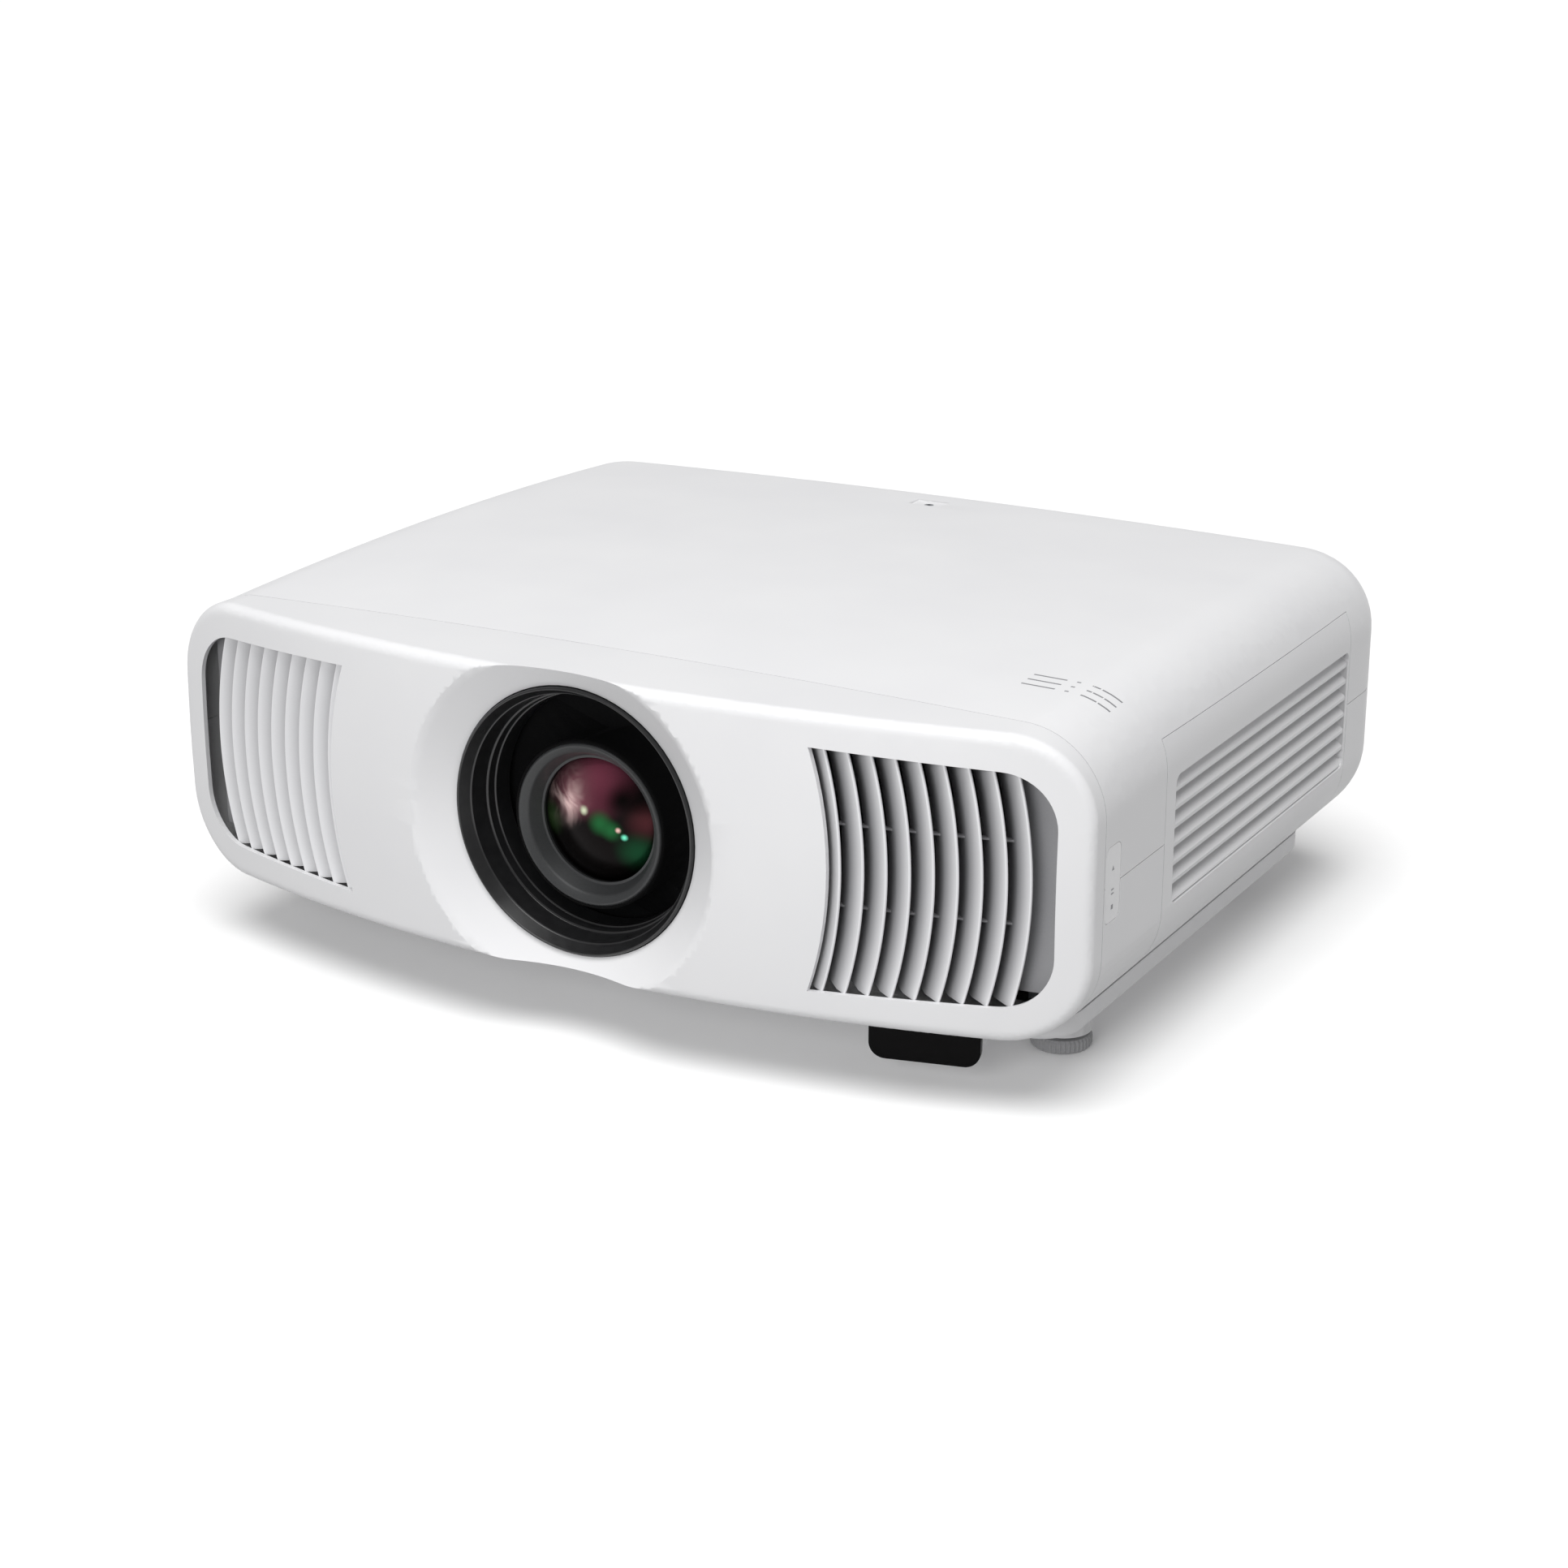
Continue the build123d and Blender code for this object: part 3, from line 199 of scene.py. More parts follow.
def screw(head_r, head_h, shank_r, shank_l, socket_r):
    """Pan head with a hexagon socket, pointing along +Y, its bearing face at the origin."""
    head = turned([(socket_r, -head_h), (head_r, -head_h), (head_r, 0), (shank_r, 0), (shank_r, shank_l),
                   (0, shank_l), (0, -0.4 * head_h), (socket_r, -0.4 * head_h)], [(1, 0.45 * head_h)], 48)
    for v in head.verts:
        reach = math.hypot(v.co.x, v.co.z)
        if v.co.y < -0.3 * head_h and socket_r * 0.9 < reach < socket_r * 1.1:
            sixth = (math.atan2(v.co.z, v.co.x) + math.tau) % (math.pi / 3) - math.pi / 6
            flat = math.cos(math.pi / 6) / math.cos(sixth)
            v.co.x *= flat
            v.co.z *= flat
    return head


SHANK_R = 1.5
TOP_HEAD_R, TOP_HEAD_H, TOP_SHANK_L, TOP_SOCKET_R, TOP_SCREW_Y = 2.8, 1.07, 2.8, 1.2, 164.0
TRAY_HEAD_R, TRAY_HEAD_H, TRAY_SHANK_L, TRAY_SOCKET_R = 2.9, 1.78, 8.5, 1.4
TRAY_SCREWS = [(x, y) for x in (-120, 120) for y in (-140, 120)]
low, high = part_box("case_screws")
down = Matrix.Translation((0, TOP_SCREW_Y, high.z / MM - TOP_HEAD_H)) @ Matrix.Rotation(-math.pi / 2, 4, "X")
parts = [moved(screw(TOP_HEAD_R, TOP_HEAD_H, SHANK_R, TOP_SHANK_L, TOP_SOCKET_R), down)]
for x, y in TRAY_SCREWS:
    up = Matrix.Translation((x, y, low.z / MM + TRAY_HEAD_H)) @ Matrix.Rotation(math.pi / 2, 4, "X")
    parts.append(moved(screw(TRAY_HEAD_R, TRAY_HEAD_H, SHANK_R, TRAY_SHANK_L, TRAY_SOCKET_R), up))
piece("socket_screws", gathered(parts), zinc, ["case_screws"])

# ---- power supply and signal board ----
# Glass-epoxy boards under green solder mask, with the tall parts soldered on. Board and parts are one
# node, so they share one finish.
board, shader, place = start("solder_masked_board", {"Roughness": 0.34, "Coat Weight": 0.3})
# Copper under the mask: straight tracks a little over 2 mm apart, seen as slightly lighter green.
tracks = add(board, "ShaderNodeTexBrick",
             {"Scale": 1 / (9 * MM), "Mortar Size": 0.03, "Color1": linear("0F4A2C"),
              "Color2": linear("0C3F26"), "Mortar": linear("2B7A4B")}, {"Vector": place})
bump = add(board, "ShaderNodeBump", {"Strength": 0.4, "Distance": 0.05 * MM},
           {"Height": tracks.outputs["Fac"]})
board.node_tree.links.new(tracks.outputs["Color"], shader.inputs["Base Color"])
board.node_tree.links.new(bump.outputs["Normal"], shader.inputs["Normal"])
finish_node(board, "power_supply", "main_board")

# ---- light source and heat sink ----
# Die-cast and extruded aluminium, left bare. The laser block bolts to the finned sink. The phosphor
# wheel takes the same finish.
aluminium, shader, place = start("extruded_aluminium", {"Metallic": 1.0, "Roughness": 0.36})
# Extrusion lines run up the fins, about 0.8 mm apart.
stretch = add(aluminium, "ShaderNodeMapping", {"Scale": (1, 1, 0.02)}, {"Vector": place})
lines = add(aluminium, "ShaderNodeTexNoise", {"Scale": 1 / (0.8 * MM), "Detail": 4.0},
            {"Vector": stretch.outputs[0]})
ramp = add(aluminium, "ShaderNodeValToRGB", {}, {"Fac": lines.outputs["Fac"]})
ramp.color_ramp.elements[0].color = linear("B9BBBD")
ramp.color_ramp.elements[1].color = linear("DADBDC")
bump = add(aluminium, "ShaderNodeBump", {"Strength": 0.25, "Distance": 0.05 * MM},
           {"Height": lines.outputs["Fac"]})
aluminium.node_tree.links.new(ramp.outputs["Color"], shader.inputs["Base Color"])
aluminium.node_tree.links.new(bump.outputs["Normal"], shader.inputs["Normal"])
finish_node(aluminium, "laser_module", "heat_sink", "phosphor_wheel")

# ---- optical engine, motors and fans ----
# Black glass-filled nylon, injection moulded: dull, with short fibres that just show at the surface.
# The motors and fans share it. Their gears are acetal.
nylon, shader, place = start("black_glass_filled_nylon", {"Roughness": 0.5})
fibre = add(nylon, "ShaderNodeTexNoise", {"Scale": 1 / (0.9 * MM), "Detail": 5.0, "Roughness": 0.7},
            {"Vector": place})
ramp = add(nylon, "ShaderNodeValToRGB", {}, {"Fac": fibre.outputs["Fac"]})
ramp.color_ramp.elements[0].color = linear("131314")
ramp.color_ramp.elements[1].color = linear("26272A")
dull = add(nylon, "ShaderNodeMapRange", {"To Min": 0.42, "To Max": 0.62}, {"Value": fibre.outputs["Fac"]})
bump = add(nylon, "ShaderNodeBump", {"Strength": 0.3, "Distance": 0.05 * MM},
           {"Height": fibre.outputs["Fac"]})
nylon.node_tree.links.new(ramp.outputs["Color"], shader.inputs["Base Color"])
nylon.node_tree.links.new(dull.outputs["Result"], shader.inputs["Roughness"])
nylon.node_tree.links.new(bump.outputs["Normal"], shader.inputs["Normal"])
finish_node(nylon, "light_path", "phosphor_housing", "wheel_motor", "vertical_motor", "horizontal_motor",
            "drive_motors", "light_valves", "fan_frames", "left_front_fan", "right_front_fan", "side_fan")

# Natural acetal, cut or moulded: milky white gears with a waxy shine.
acetal, shader, place = start("natural_acetal", {"Roughness": 0.33, "Subsurface Weight": 0.1,
                                                 "Subsurface Scale": 1.5 * MM})
milk = add(acetal, "ShaderNodeTexNoise", {"Scale": 1 / (3 * MM), "Detail": 2.0}, {"Vector": place})
ramp = add(acetal, "ShaderNodeValToRGB", {}, {"Fac": milk.outputs["Fac"]})
ramp.color_ramp.elements[0].color = linear("DEDCD2")
ramp.color_ramp.elements[1].color = linear("EBE9E0")
acetal.node_tree.links.new(ramp.outputs["Color"], shader.inputs["Base Color"])
finish_node(acetal, "zoom_ring", "focus_ring", "zoom_pinion", "focus_pinion", "vertical_pinion",
            "horizontal_pinion")

# ---- lens ----
# The barrel is flocked black. The ring on its front, painted satin dark grey, is a stepped funnel that
# leads down to the front element, a strongly domed ground glass with an anti-reflection coating.
barrel_paint, shader, place = start("satin_grey_barrel_paint", {"Roughness": 0.46})
# Fine orange peel of the spray paint, about 0.7 mm across.
peel = add(barrel_paint, "ShaderNodeTexNoise", {"Scale": 1 / (0.7 * MM), "Detail": 2.0}, {"Vector": place})
ramp = add(barrel_paint, "ShaderNodeValToRGB", {}, {"Fac": peel.outputs["Fac"]})
ramp.color_ramp.elements[0].color = linear("2A2B2C")
ramp.color_ramp.elements[1].color = linear("363738")
bump = add(barrel_paint, "ShaderNodeBump", {"Strength": 0.2, "Distance": 0.04 * MM},
           {"Height": peel.outputs["Fac"]})
barrel_paint.node_tree.links.new(ramp.outputs["Color"], shader.inputs["Base Color"])
barrel_paint.node_tree.links.new(bump.outputs["Normal"], shader.inputs["Normal"])


SKIN_CORNER = 28.0


def finished_copy(name, node, material):
    """A CAD moulding's own shape as one joined skin, smooth up to its corners, in the node's place."""
    source = frame["nodes"][node]
    bm = bmesh.new()
    bm.from_mesh(source.data)
    bmesh.ops.remove_doubles(bm, verts=bm.verts, dist=0.002 * MM)
    mesh = bpy.data.meshes.new(name)
    bm.to_mesh(mesh)
    bm.free()
    mesh.shade_smooth()
    mesh.set_sharp_from_angle(angle=math.radians(SKIN_CORNER))
    mesh.materials.append(material)
    made = bpy.data.objects.new(name, mesh)
    bpy.context.scene.collection.objects.link(made)
    even = made.modifiers.new("even_shading", "WEIGHTED_NORMAL")
    even.keep_sharp = True
    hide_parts(node)
    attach(made, source["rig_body"])
    return made


low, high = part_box("front_glass")
LENS_X, LENS_Z = (low.x + high.x) / 2 / MM, (low.z + high.z) / 2 / MM
GLASS_R, APEX_Y = (high.x - low.x) / 2 / MM, low.y / MM
lens_axis = Matrix.Translation((LENS_X, 0, LENS_Z))
BARREL_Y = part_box("lens_barrel")[0].y / MM
flock, shader, place = start("black_flocked_barrel", {"Roughness": 0.85, "Specular IOR Level": 0.15})
# Short black flock sprayed into the barrel, so that it gives almost no light back.
nap = add(flock, "ShaderNodeTexNoise", {"Scale": 1 / (0.6 * MM), "Detail": 4.0}, {"Vector": place})
ramp = add(flock, "ShaderNodeValToRGB", {}, {"Fac": nap.outputs["Fac"]})
ramp.color_ramp.elements[0].color = linear("060606")
ramp.color_ramp.elements[1].color = linear("121213")
bump = add(flock, "ShaderNodeBump", {"Strength": 0.5, "Distance": 0.1 * MM}, {"Height": nap.outputs["Fac"]})
flock.node_tree.links.new(ramp.outputs["Color"], shader.inputs["Base Color"])
flock.node_tree.links.new(bump.outputs["Normal"], shader.inputs["Normal"])
finished_copy("lens_tube", "lens_barrel", flock)

# Front ring: a rounded nose, a flat cone, a steeper one, and the lip that holds the glass.
RING_R, LIP_R = 41.4, 31.8
funnel = turned([(RING_R, BARREL_Y + 9), (RING_R, BARREL_Y + 0.4), (RING_R - 1.4, BARREL_Y - 0.8),
                 (36.6, BARREL_Y + 1.6), (36.0, BARREL_Y + 2.4), (33.0, BARREL_Y + 8.8),
                 (LIP_R, BARREL_Y + 9.0), (LIP_R, BARREL_Y + 10.4), (34.2, BARREL_Y + 10.4),
                 (37.4, BARREL_Y + 6.0),
                 (RING_R - 1.4, BARREL_Y + 9)], [(1, 0.8), (2, 0.8), (3, 0.4), (4, 0.4)], 160)
piece("lens_front_ring", moved(funnel, lens_axis), barrel_paint, body="lens")

# Coated glass: nearly black. The coating's reflections are painted into its colour as soft spots: magenta
# over the upper half, green at the left, in the middle and below right, painted highlight streaks above left,
# and three painted glints.
coated, shader, place = start("lens_glass_painted_reflections", {"Roughness": 0.26, "Metallic": 0.75, "IOR": 1.6,
                                                    "Specular IOR Level": 0.15})


def spot(x, z, reach):
    """1 at a place on the front element, falling to 0 at its reach. All are shares of the radius."""
    offset = add(coated, "ShaderNodeVectorMath", {"operation": "DISTANCE", 1: (x, 0, z)},
                 {0: flat.outputs[0]})
    fall = add(coated, "ShaderNodeMapRange",
               {"interpolation_type": "SMOOTHSTEP", "From Min": reach, "From Max": 0.0},
               {"Value": offset.outputs["Value"]})
    return fall.outputs["Result"]


centred = add(coated, "ShaderNodeVectorMath", {"operation": "SUBTRACT", 1: (LENS_X * MM, 0, LENS_Z * MM)},
              {0: place})
flat = add(coated, "ShaderNodeVectorMath",
           {"operation": "MULTIPLY", 1: (1 / (GLASS_R * MM), 0, 1 / (GLASS_R * MM))}, {0: centred.outputs[0]})
swirl = add(coated, "ShaderNodeTexNoise", {"Scale": 1.6, "Detail": 2.0, "Distortion": 2.4},
            {"Vector": flat.outputs[0]})
streaks = add(coated, "ShaderNodeMapRange", {"From Min": 0.4, "From Max": 0.68},
              {"Value": swirl.outputs["Fac"]})
painted_streaks = add(coated, "ShaderNodeMath", {"operation": "MULTIPLY"},
               {0: spot(-0.58, 0.36, 0.6), 1: streaks.outputs["Result"]})
# Painted reflections: each spot mixes its colour over the near-black glass.
painted_reflection_spots = [("8A4458", spot(0.02, 0.75, 0.8)), ("94606A", spot(-0.45, 0.5, 0.62)),
         ("0B0707", spot(0.5, 0.42, 0.36)), ("3E1B1F", spot(0.86, 0.1, 0.4)),
         ("46643A", spot(-0.86, -0.08, 0.36)), ("1D5A30", spot(0.16, 0.04, 0.26)),
         ("1D5A30", spot(0.34, -0.06, 0.22)), ("103F25", spot(0.72, -0.42, 0.44)),
         ("F6D6D2", painted_streaks.outputs[0]), ("D2DABA", spot(-0.13, 0.2, 0.1)),
         ("E8BCB4", spot(0.45, -0.04, 0.06)), ("78F0C8", spot(0.54, -0.15, 0.07))]
colour = None
for code, share in painted_reflection_spots:
    mixed = add(coated, "ShaderNodeMix", {"data_type": "RGBA", 6: linear("0A0606"), 7: linear(code)},
                {0: share, 6: colour} if colour else {0: share})
    colour = mixed.outputs[2]
coated.node_tree.links.new(colour, shader.inputs["Base Color"])


def dome(radius, sagitta, apex_y, thick):
    """Lens element: a spherical front, a ground edge and a flat back."""
    bm = bmesh.new()
    sphere_r = (radius ** 2 + sagitta ** 2) / (2 * sagitta)
    apex = bm.verts.new((0, apex_y, 0))
    bmesh.ops.spin(bm, geom=[apex], cent=(0, apex_y + sphere_r, 0), axis=(0, 0, 1),
                   angle=math.asin(radius / sphere_r), steps=24)
    rim = max(bm.verts, key=lambda v: v.co.x)
    edge = bm.verts.new((radius, apex_y + thick, 0))
    back = bm.verts.new((0, apex_y + thick, 0))
    bm.edges.new((rim, edge))
    bm.edges.new((edge, back))
    bmesh.ops.spin(bm, geom=bm.verts[:] + bm.edges[:], cent=(0, 0, 0), axis=(0, 1, 0), angle=math.tau,
                   steps=96, use_merge=True)
    bmesh.ops.remove_doubles(bm, verts=bm.verts, dist=0.002)
    bmesh.ops.dissolve_degenerate(bm, edges=bm.edges, dist=0.002)
    return bm


GLASS_BULGE, GLASS_THICK = 10.4, 17.4
glass = moved(dome(GLASS_R, GLASS_BULGE, APEX_Y, GLASS_THICK), lens_axis)
piece("front_element", glass, coated, ["front_glass"], corner=40)
finish_node(coated, "rear_glass", "prism_block")

# ---- base pan and feet ----
# White ABS, injection moulded in a spark-eroded tool. The pan carries the tray, and its two front
# bosses take the levelling feet. The rear feet are rubber pads glued into it.
white, shader, place = start("white_abs_spark_texture", {"Roughness": 0.4, "IOR": 1.53})
# The grain of the tool is about 0.25 mm, drawn at 0.7 mm so that it shows, with a very faint
# unevenness of tone over some centimetres.
grain = add(white, "ShaderNodeTexNoise", {"Scale": 1 / (0.7 * MM), "Detail": 3.0, "Roughness": 0.6},
            {"Vector": place})
tone = add(white, "ShaderNodeTexNoise", {"Scale": 1 / (60 * MM), "Detail": 2.0}, {"Vector": place})
ramp = add(white, "ShaderNodeValToRGB", {}, {"Fac": tone.outputs["Fac"]})
ramp.color_ramp.elements[0].color = linear("DFDFE1")
ramp.color_ramp.elements[1].color = linear("E6E6E7")
dull = add(white, "ShaderNodeMapRange", {"To Min": 0.36, "To Max": 0.46}, {"Value": grain.outputs["Fac"]})
bump = add(white, "ShaderNodeBump", {"Strength": 0.12, "Distance": 0.05 * MM},
           {"Height": grain.outputs["Fac"]})
white.node_tree.links.new(ramp.outputs["Color"], shader.inputs["Base Color"])
white.node_tree.links.new(dull.outputs["Result"], shader.inputs["Roughness"])
white.node_tree.links.new(bump.outputs["Normal"], shader.inputs["Normal"])
finished_copy("pan_moulding", "base_pan", white)

rubber, shader, place = start("moulded_rubber", {"Roughness": 0.75})
bloom = add(rubber, "ShaderNodeTexNoise", {"Scale": 1 / (1.5 * MM), "Detail": 4.0}, {"Vector": place})
ramp = add(rubber, "ShaderNodeValToRGB", {}, {"Fac": bloom.outputs["Fac"]})
ramp.color_ramp.elements[0].color = linear("1D1D1E")
ramp.color_ramp.elements[1].color = linear("303031")
bump = add(rubber, "ShaderNodeBump", {"Strength": 0.3, "Distance": 0.08 * MM},
           {"Height": bloom.outputs["Fac"]})
rubber.node_tree.links.new(ramp.outputs["Color"], shader.inputs["Base Color"])
rubber.node_tree.links.new(bump.outputs["Normal"], shader.inputs["Normal"])
finished_copy("rubber_rear_feet", "rear_feet", rubber)

# Levelling feet: a fluted disc of grey ABS moulded on a threaded steel stud.
grey, shader, place = start("grey_abs_foot", {"Roughness": 0.45})
speck = add(grey, "ShaderNodeTexNoise", {"Scale": 1 / (0.8 * MM), "Detail": 3.0}, {"Vector": place})
ramp = add(grey, "ShaderNodeValToRGB", {}, {"Fac": speck.outputs["Fac"]})
ramp.color_ramp.elements[0].color = linear("8C8C8E")
ramp.color_ramp.elements[1].color = linear("A2A2A4")
bump = add(grey, "ShaderNodeBump", {"Strength": 0.2, "Distance": 0.05 * MM}, {"Height": speck.outputs["Fac"]})
grey.node_tree.links.new(ramp.outputs["Color"], shader.inputs["Base Color"])
grey.node_tree.links.new(bump.outputs["Normal"], shader.inputs["Normal"])
FLUTES, FLUTE_STEPS, FLUTE_DEEP = 40, 4, 0.6
FOOT_HIGH, DISH_R, DISH_DEEP = 7.0, 9.5, 0.8
STUD_R, THREAD_PITCH, THREAD_DEEP = 3.95, 1.25, 0.6
for side in ("left", "right"):
    low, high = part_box(side + "_foot")
    centre = ((low.x + high.x) / 2 / MM, (low.y + high.y) / 2 / MM)
    radius = (high.x - low.x) / 2 / MM
    bm = turned([(0, 0), (radius - 1.6, 0), (radius, 1.6), (radius, FOOT_HIGH - 1.2),
                 (radius - 1.2, FOOT_HIGH), (DISH_R, FOOT_HIGH), (DISH_R - 1, FOOT_HIGH - DISH_DEEP),
                 (0, FOOT_HIGH - DISH_DEEP)],
                [(2, 0.6), (3, 0.5)], FLUTES * FLUTE_STEPS)
    for v in bm.verts:
        reach = math.hypot(v.co.x, v.co.z)
        flute = round(math.atan2(v.co.z, v.co.x) / math.tau * FLUTES * FLUTE_STEPS) % FLUTE_STEPS
        if reach > radius - 0.9 and flute in (0, 1):
            v.co.x *= 1 - FLUTE_DEEP / radius
            v.co.z *= 1 - FLUTE_DEEP / radius
    stud_top = high.z / MM
    rings = int((stud_top - FOOT_HIGH - 1) / THREAD_PITCH)
    profile = [(0, FOOT_HIGH - 2), (STUD_R, FOOT_HIGH - 2)]
    for i in range(rings):
        crest = FOOT_HIGH + 0.5 + i * THREAD_PITCH
        profile += [(STUD_R, crest), (STUD_R - THREAD_DEEP, crest + THREAD_PITCH / 2)]
    profile += [(STUD_R, stud_top - THREAD_DEEP), (STUD_R - THREAD_DEEP, stud_top), (0, stud_top)]
    stand = Matrix.Translation((*centre, 0)) @ Matrix.Rotation(math.pi / 2, 4, "X")
    piece(side + "_foot_disc", moved(bm, stand), grey, [side + "_foot"], corner=25)
    piece(side + "_foot_stud", moved(turned(profile, (), 32), stand), zinc, body=side + "_foot")

# ---- lower case, rear panel and sockets ----
# The lower half of the case, above the base pan, and the recessed plate for the connectors. Their
# shells are nickel plated, and the mains inlet is black nylon.
finished_copy("lower_case_moulding", "lower_case", white)
finished_copy("rear_panel_moulding", "rear_panel", white)
nickel, shader, place = start("nickel_plated_shell", {"Metallic": 1.0, "Roughness": 0.25})
haze = add(nickel, "ShaderNodeTexNoise", {"Scale": 1 / (1.6 * MM), "Detail": 3.0}, {"Vector": place})
ramp = add(nickel, "ShaderNodeValToRGB", {}, {"Fac": haze.outputs["Fac"]})
ramp.color_ramp.elements[0].color = linear("ABA9A5")
ramp.color_ramp.elements[1].color = linear("CFCDC8")
nickel.node_tree.links.new(ramp.outputs["Color"], shader.inputs["Base Color"])
finish_node(nickel, "hdmi_sockets", "usb_sockets", "lan_socket")
finish_node(nylon, "ac_inlet")

# ---- top cover ----
# The crowned top half of the case, in the white ABS and texture of the base pan. Its printed legends
# follow in the section of the marks.
finished_copy("top_cover_moulding", "top_cover", white)

# ---- control plate and buttons ----
# A thin white plate glued into a recess of the left side, and seven caps that travel under 1 mm. The
# caps are polished, the plate has the grain of the case.
gloss, shader, place = start("white_abs_polished", {"Roughness": 0.18, "IOR": 1.53, "Coat Weight": 0.2})
wipe = add(gloss, "ShaderNodeTexNoise", {"Scale": 1 / (4 * MM), "Detail": 2.0}, {"Vector": place})
ramp = add(gloss, "ShaderNodeValToRGB", {}, {"Fac": wipe.outputs["Fac"]})
ramp.color_ramp.elements[0].color = linear("DCDCDE")
ramp.color_ramp.elements[1].color = linear("E3E3E4")
dull = add(gloss, "ShaderNodeMapRange", {"To Min": 0.14, "To Max": 0.24}, {"Value": wipe.outputs["Fac"]})
gloss.node_tree.links.new(ramp.outputs["Color"], shader.inputs["Base Color"])
gloss.node_tree.links.new(dull.outputs["Result"], shader.inputs["Roughness"])
finished_copy("control_plate_moulding", "control_plate", white)
for button in ("power", "menu", "enter", "up", "down", "left", "right"):
    finished_copy(button + "_button_cap", button + "_button", gloss)

# ---- front bezel ----
# One white moulding with the conical dish round the lens and the two grille apertures, textured like
# the rest of the case.
finished_copy("bezel_moulding", "front_bezel", white)

# ---- grilles ----
# Curved louvres moulded as one white insert with their rim and cross ribs, clipped in from behind.
# Shade is painted into the gaps: the white turns grey with depth and fades out towards the noses of the
# louvres. The material reads it from each vertex's depth behind the bowed face, in mm.
louvre_white, shader, place = start("white_abs_painted_depth_shade", {"Roughness": 0.42, "IOR": 1.53})
deep = add(louvre_white, "ShaderNodeAttribute", {"attribute_name": "depth"})
grain = add(louvre_white, "ShaderNodeTexNoise", {"Scale": 1 / (0.7 * MM), "Detail": 3.0}, {"Vector": place})
uneven = add(louvre_white, "ShaderNodeMath", {"operation": "MULTIPLY_ADD", 1: 0.8},
             {0: grain.outputs["Fac"], 2: deep.outputs["Fac"]})
share = add(louvre_white, "ShaderNodeMapRange", {"From Min": 4.4, "From Max": 17.0},
            {"Value": uneven.outputs[0]})
# Painted shade: white near the face, grey deep in the gaps and on the sunk strip.
ramp = add(louvre_white, "ShaderNodeValToRGB", {}, {"Fac": share.outputs["Result"]})
ramp.color_ramp.elements[0].color = linear("E4E4E6")
ramp.color_ramp.elements[1].color = linear("7C7C7F")
bump = add(louvre_white, "ShaderNodeBump", {"Strength": 0.12, "Distance": 0.05 * MM},
           {"Height": grain.outputs["Fac"]})
louvre_white.node_tree.links.new(ramp.outputs["Color"], shader.inputs["Base Color"])
louvre_white.node_tree.links.new(bump.outputs["Normal"], shader.inputs["Normal"])
FRONT_Y, PLAN_BOW, TALL_BOW, FACE_Z = -228.0, 1580.0, 1800.0, 110.0
BLADES, BLADE_PITCH, FIRST_BLADE = 9, 10.83, 146.1
BLADE_ARC, BLADE_HALF_TURN, BLADE_MID_Z = 205.0, math.radians(17.5), 111.4
BLADE_RUN, BLADE_SLOPE, BLADE_THICK, BLADE_SUNK = 17.5, 13.0, 1.6, 2.6
NOSE_ROUND, HEEL_ROUND = 1.1, 0.5
APERTURE = [(131.2, 51.8), (141.2, 111.4), (131.2, 171.0), (244.2, 166.8), (244.2, 54.6)]
APERTURE_CORNER, APERTURE_BEND, APERTURE_IN_X = 27.0, 40.0, 131.2
# Height and slope of the cuts that end the louvres above and below, and the side that falls away.
BLADE_CUTS = ((171.6, -4.2 / 113, 1), (51.4, 2.8 / 113, -1))
RIM_GAP, RIM_WIDE, RIM_SUNK, RIM_BACK_Y = 0.3, 1.5, 1.2, -181.0
RIB_MID_X, RIB_LONG, RIB_TALL, RIB_FRONT, RIB_BACK, RIB_OFF_MID = 179.5, 93.0, 1.0, 15.0, 18.0, 20.0
STRIP_OUT_X, STRIP_WIDE, STRIP_TALL, STRIP_THICK, STRIP_SUNK, STRIP_LEAN = 242.5, 18.0, 106.0, 1.6, 14.0, 0.15


def front_y(x, z=FACE_Z):
    """The bowed front face."""
    return FRONT_Y + x ** 2 / PLAN_BOW + (z - FACE_Z) ** 2 / TALL_BOW


def grille_blade(tip_x):
    """A louvre with a rounded nose, bent along its arc and trimmed level with the rim."""
    bm = bmesh.new()
    tip_y = front_y(tip_x) + BLADE_SUNK
    heel = (tip_x - BLADE_RUN, tip_y + BLADE_SLOPE)
    corners = [bm.verts.new((x, y, BLADE_MID_Z)) for x, y in
               ((tip_x, tip_y), (tip_x + 0.4, tip_y + BLADE_THICK + 0.6), (heel[0], heel[1] + BLADE_THICK),
                heel)]
    bm.faces.new(corners)
    for ends, offset, segments in ((corners[:2], NOSE_ROUND, 4), (corners[3:], HEEL_ROUND, 2)):
        bmesh.ops.bevel(bm, geom=ends, offset=offset, segments=segments, profile=0.5, affect="VERTICES",
                        material=-1)
    centre = (tip_x - BLADE_ARC, 0, BLADE_MID_Z)
    bmesh.ops.rotate(bm, verts=bm.verts, cent=centre, matrix=Matrix.Rotation(-BLADE_HALF_TURN, 3, "Y"))
    bmesh.ops.spin(bm, geom=bm.verts[:] + bm.edges[:] + bm.faces[:], cent=centre, axis=(0, 1, 0),
                   angle=2 * BLADE_HALF_TURN, steps=36)
    for height, slope, way in BLADE_CUTS:
        cut = bmesh.ops.bisect_plane(bm, geom=bm.verts[:] + bm.edges[:] + bm.faces[:], clear_outer=True,
                                     plane_co=(APERTURE_IN_X, 0, height), plane_no=(-slope * way, 0, way))
        rim = [e for e in cut["geom_cut"] if isinstance(e, bmesh.types.BMEdge)]
        bmesh.ops.contextual_create(bm, geom=rim)
    return bm


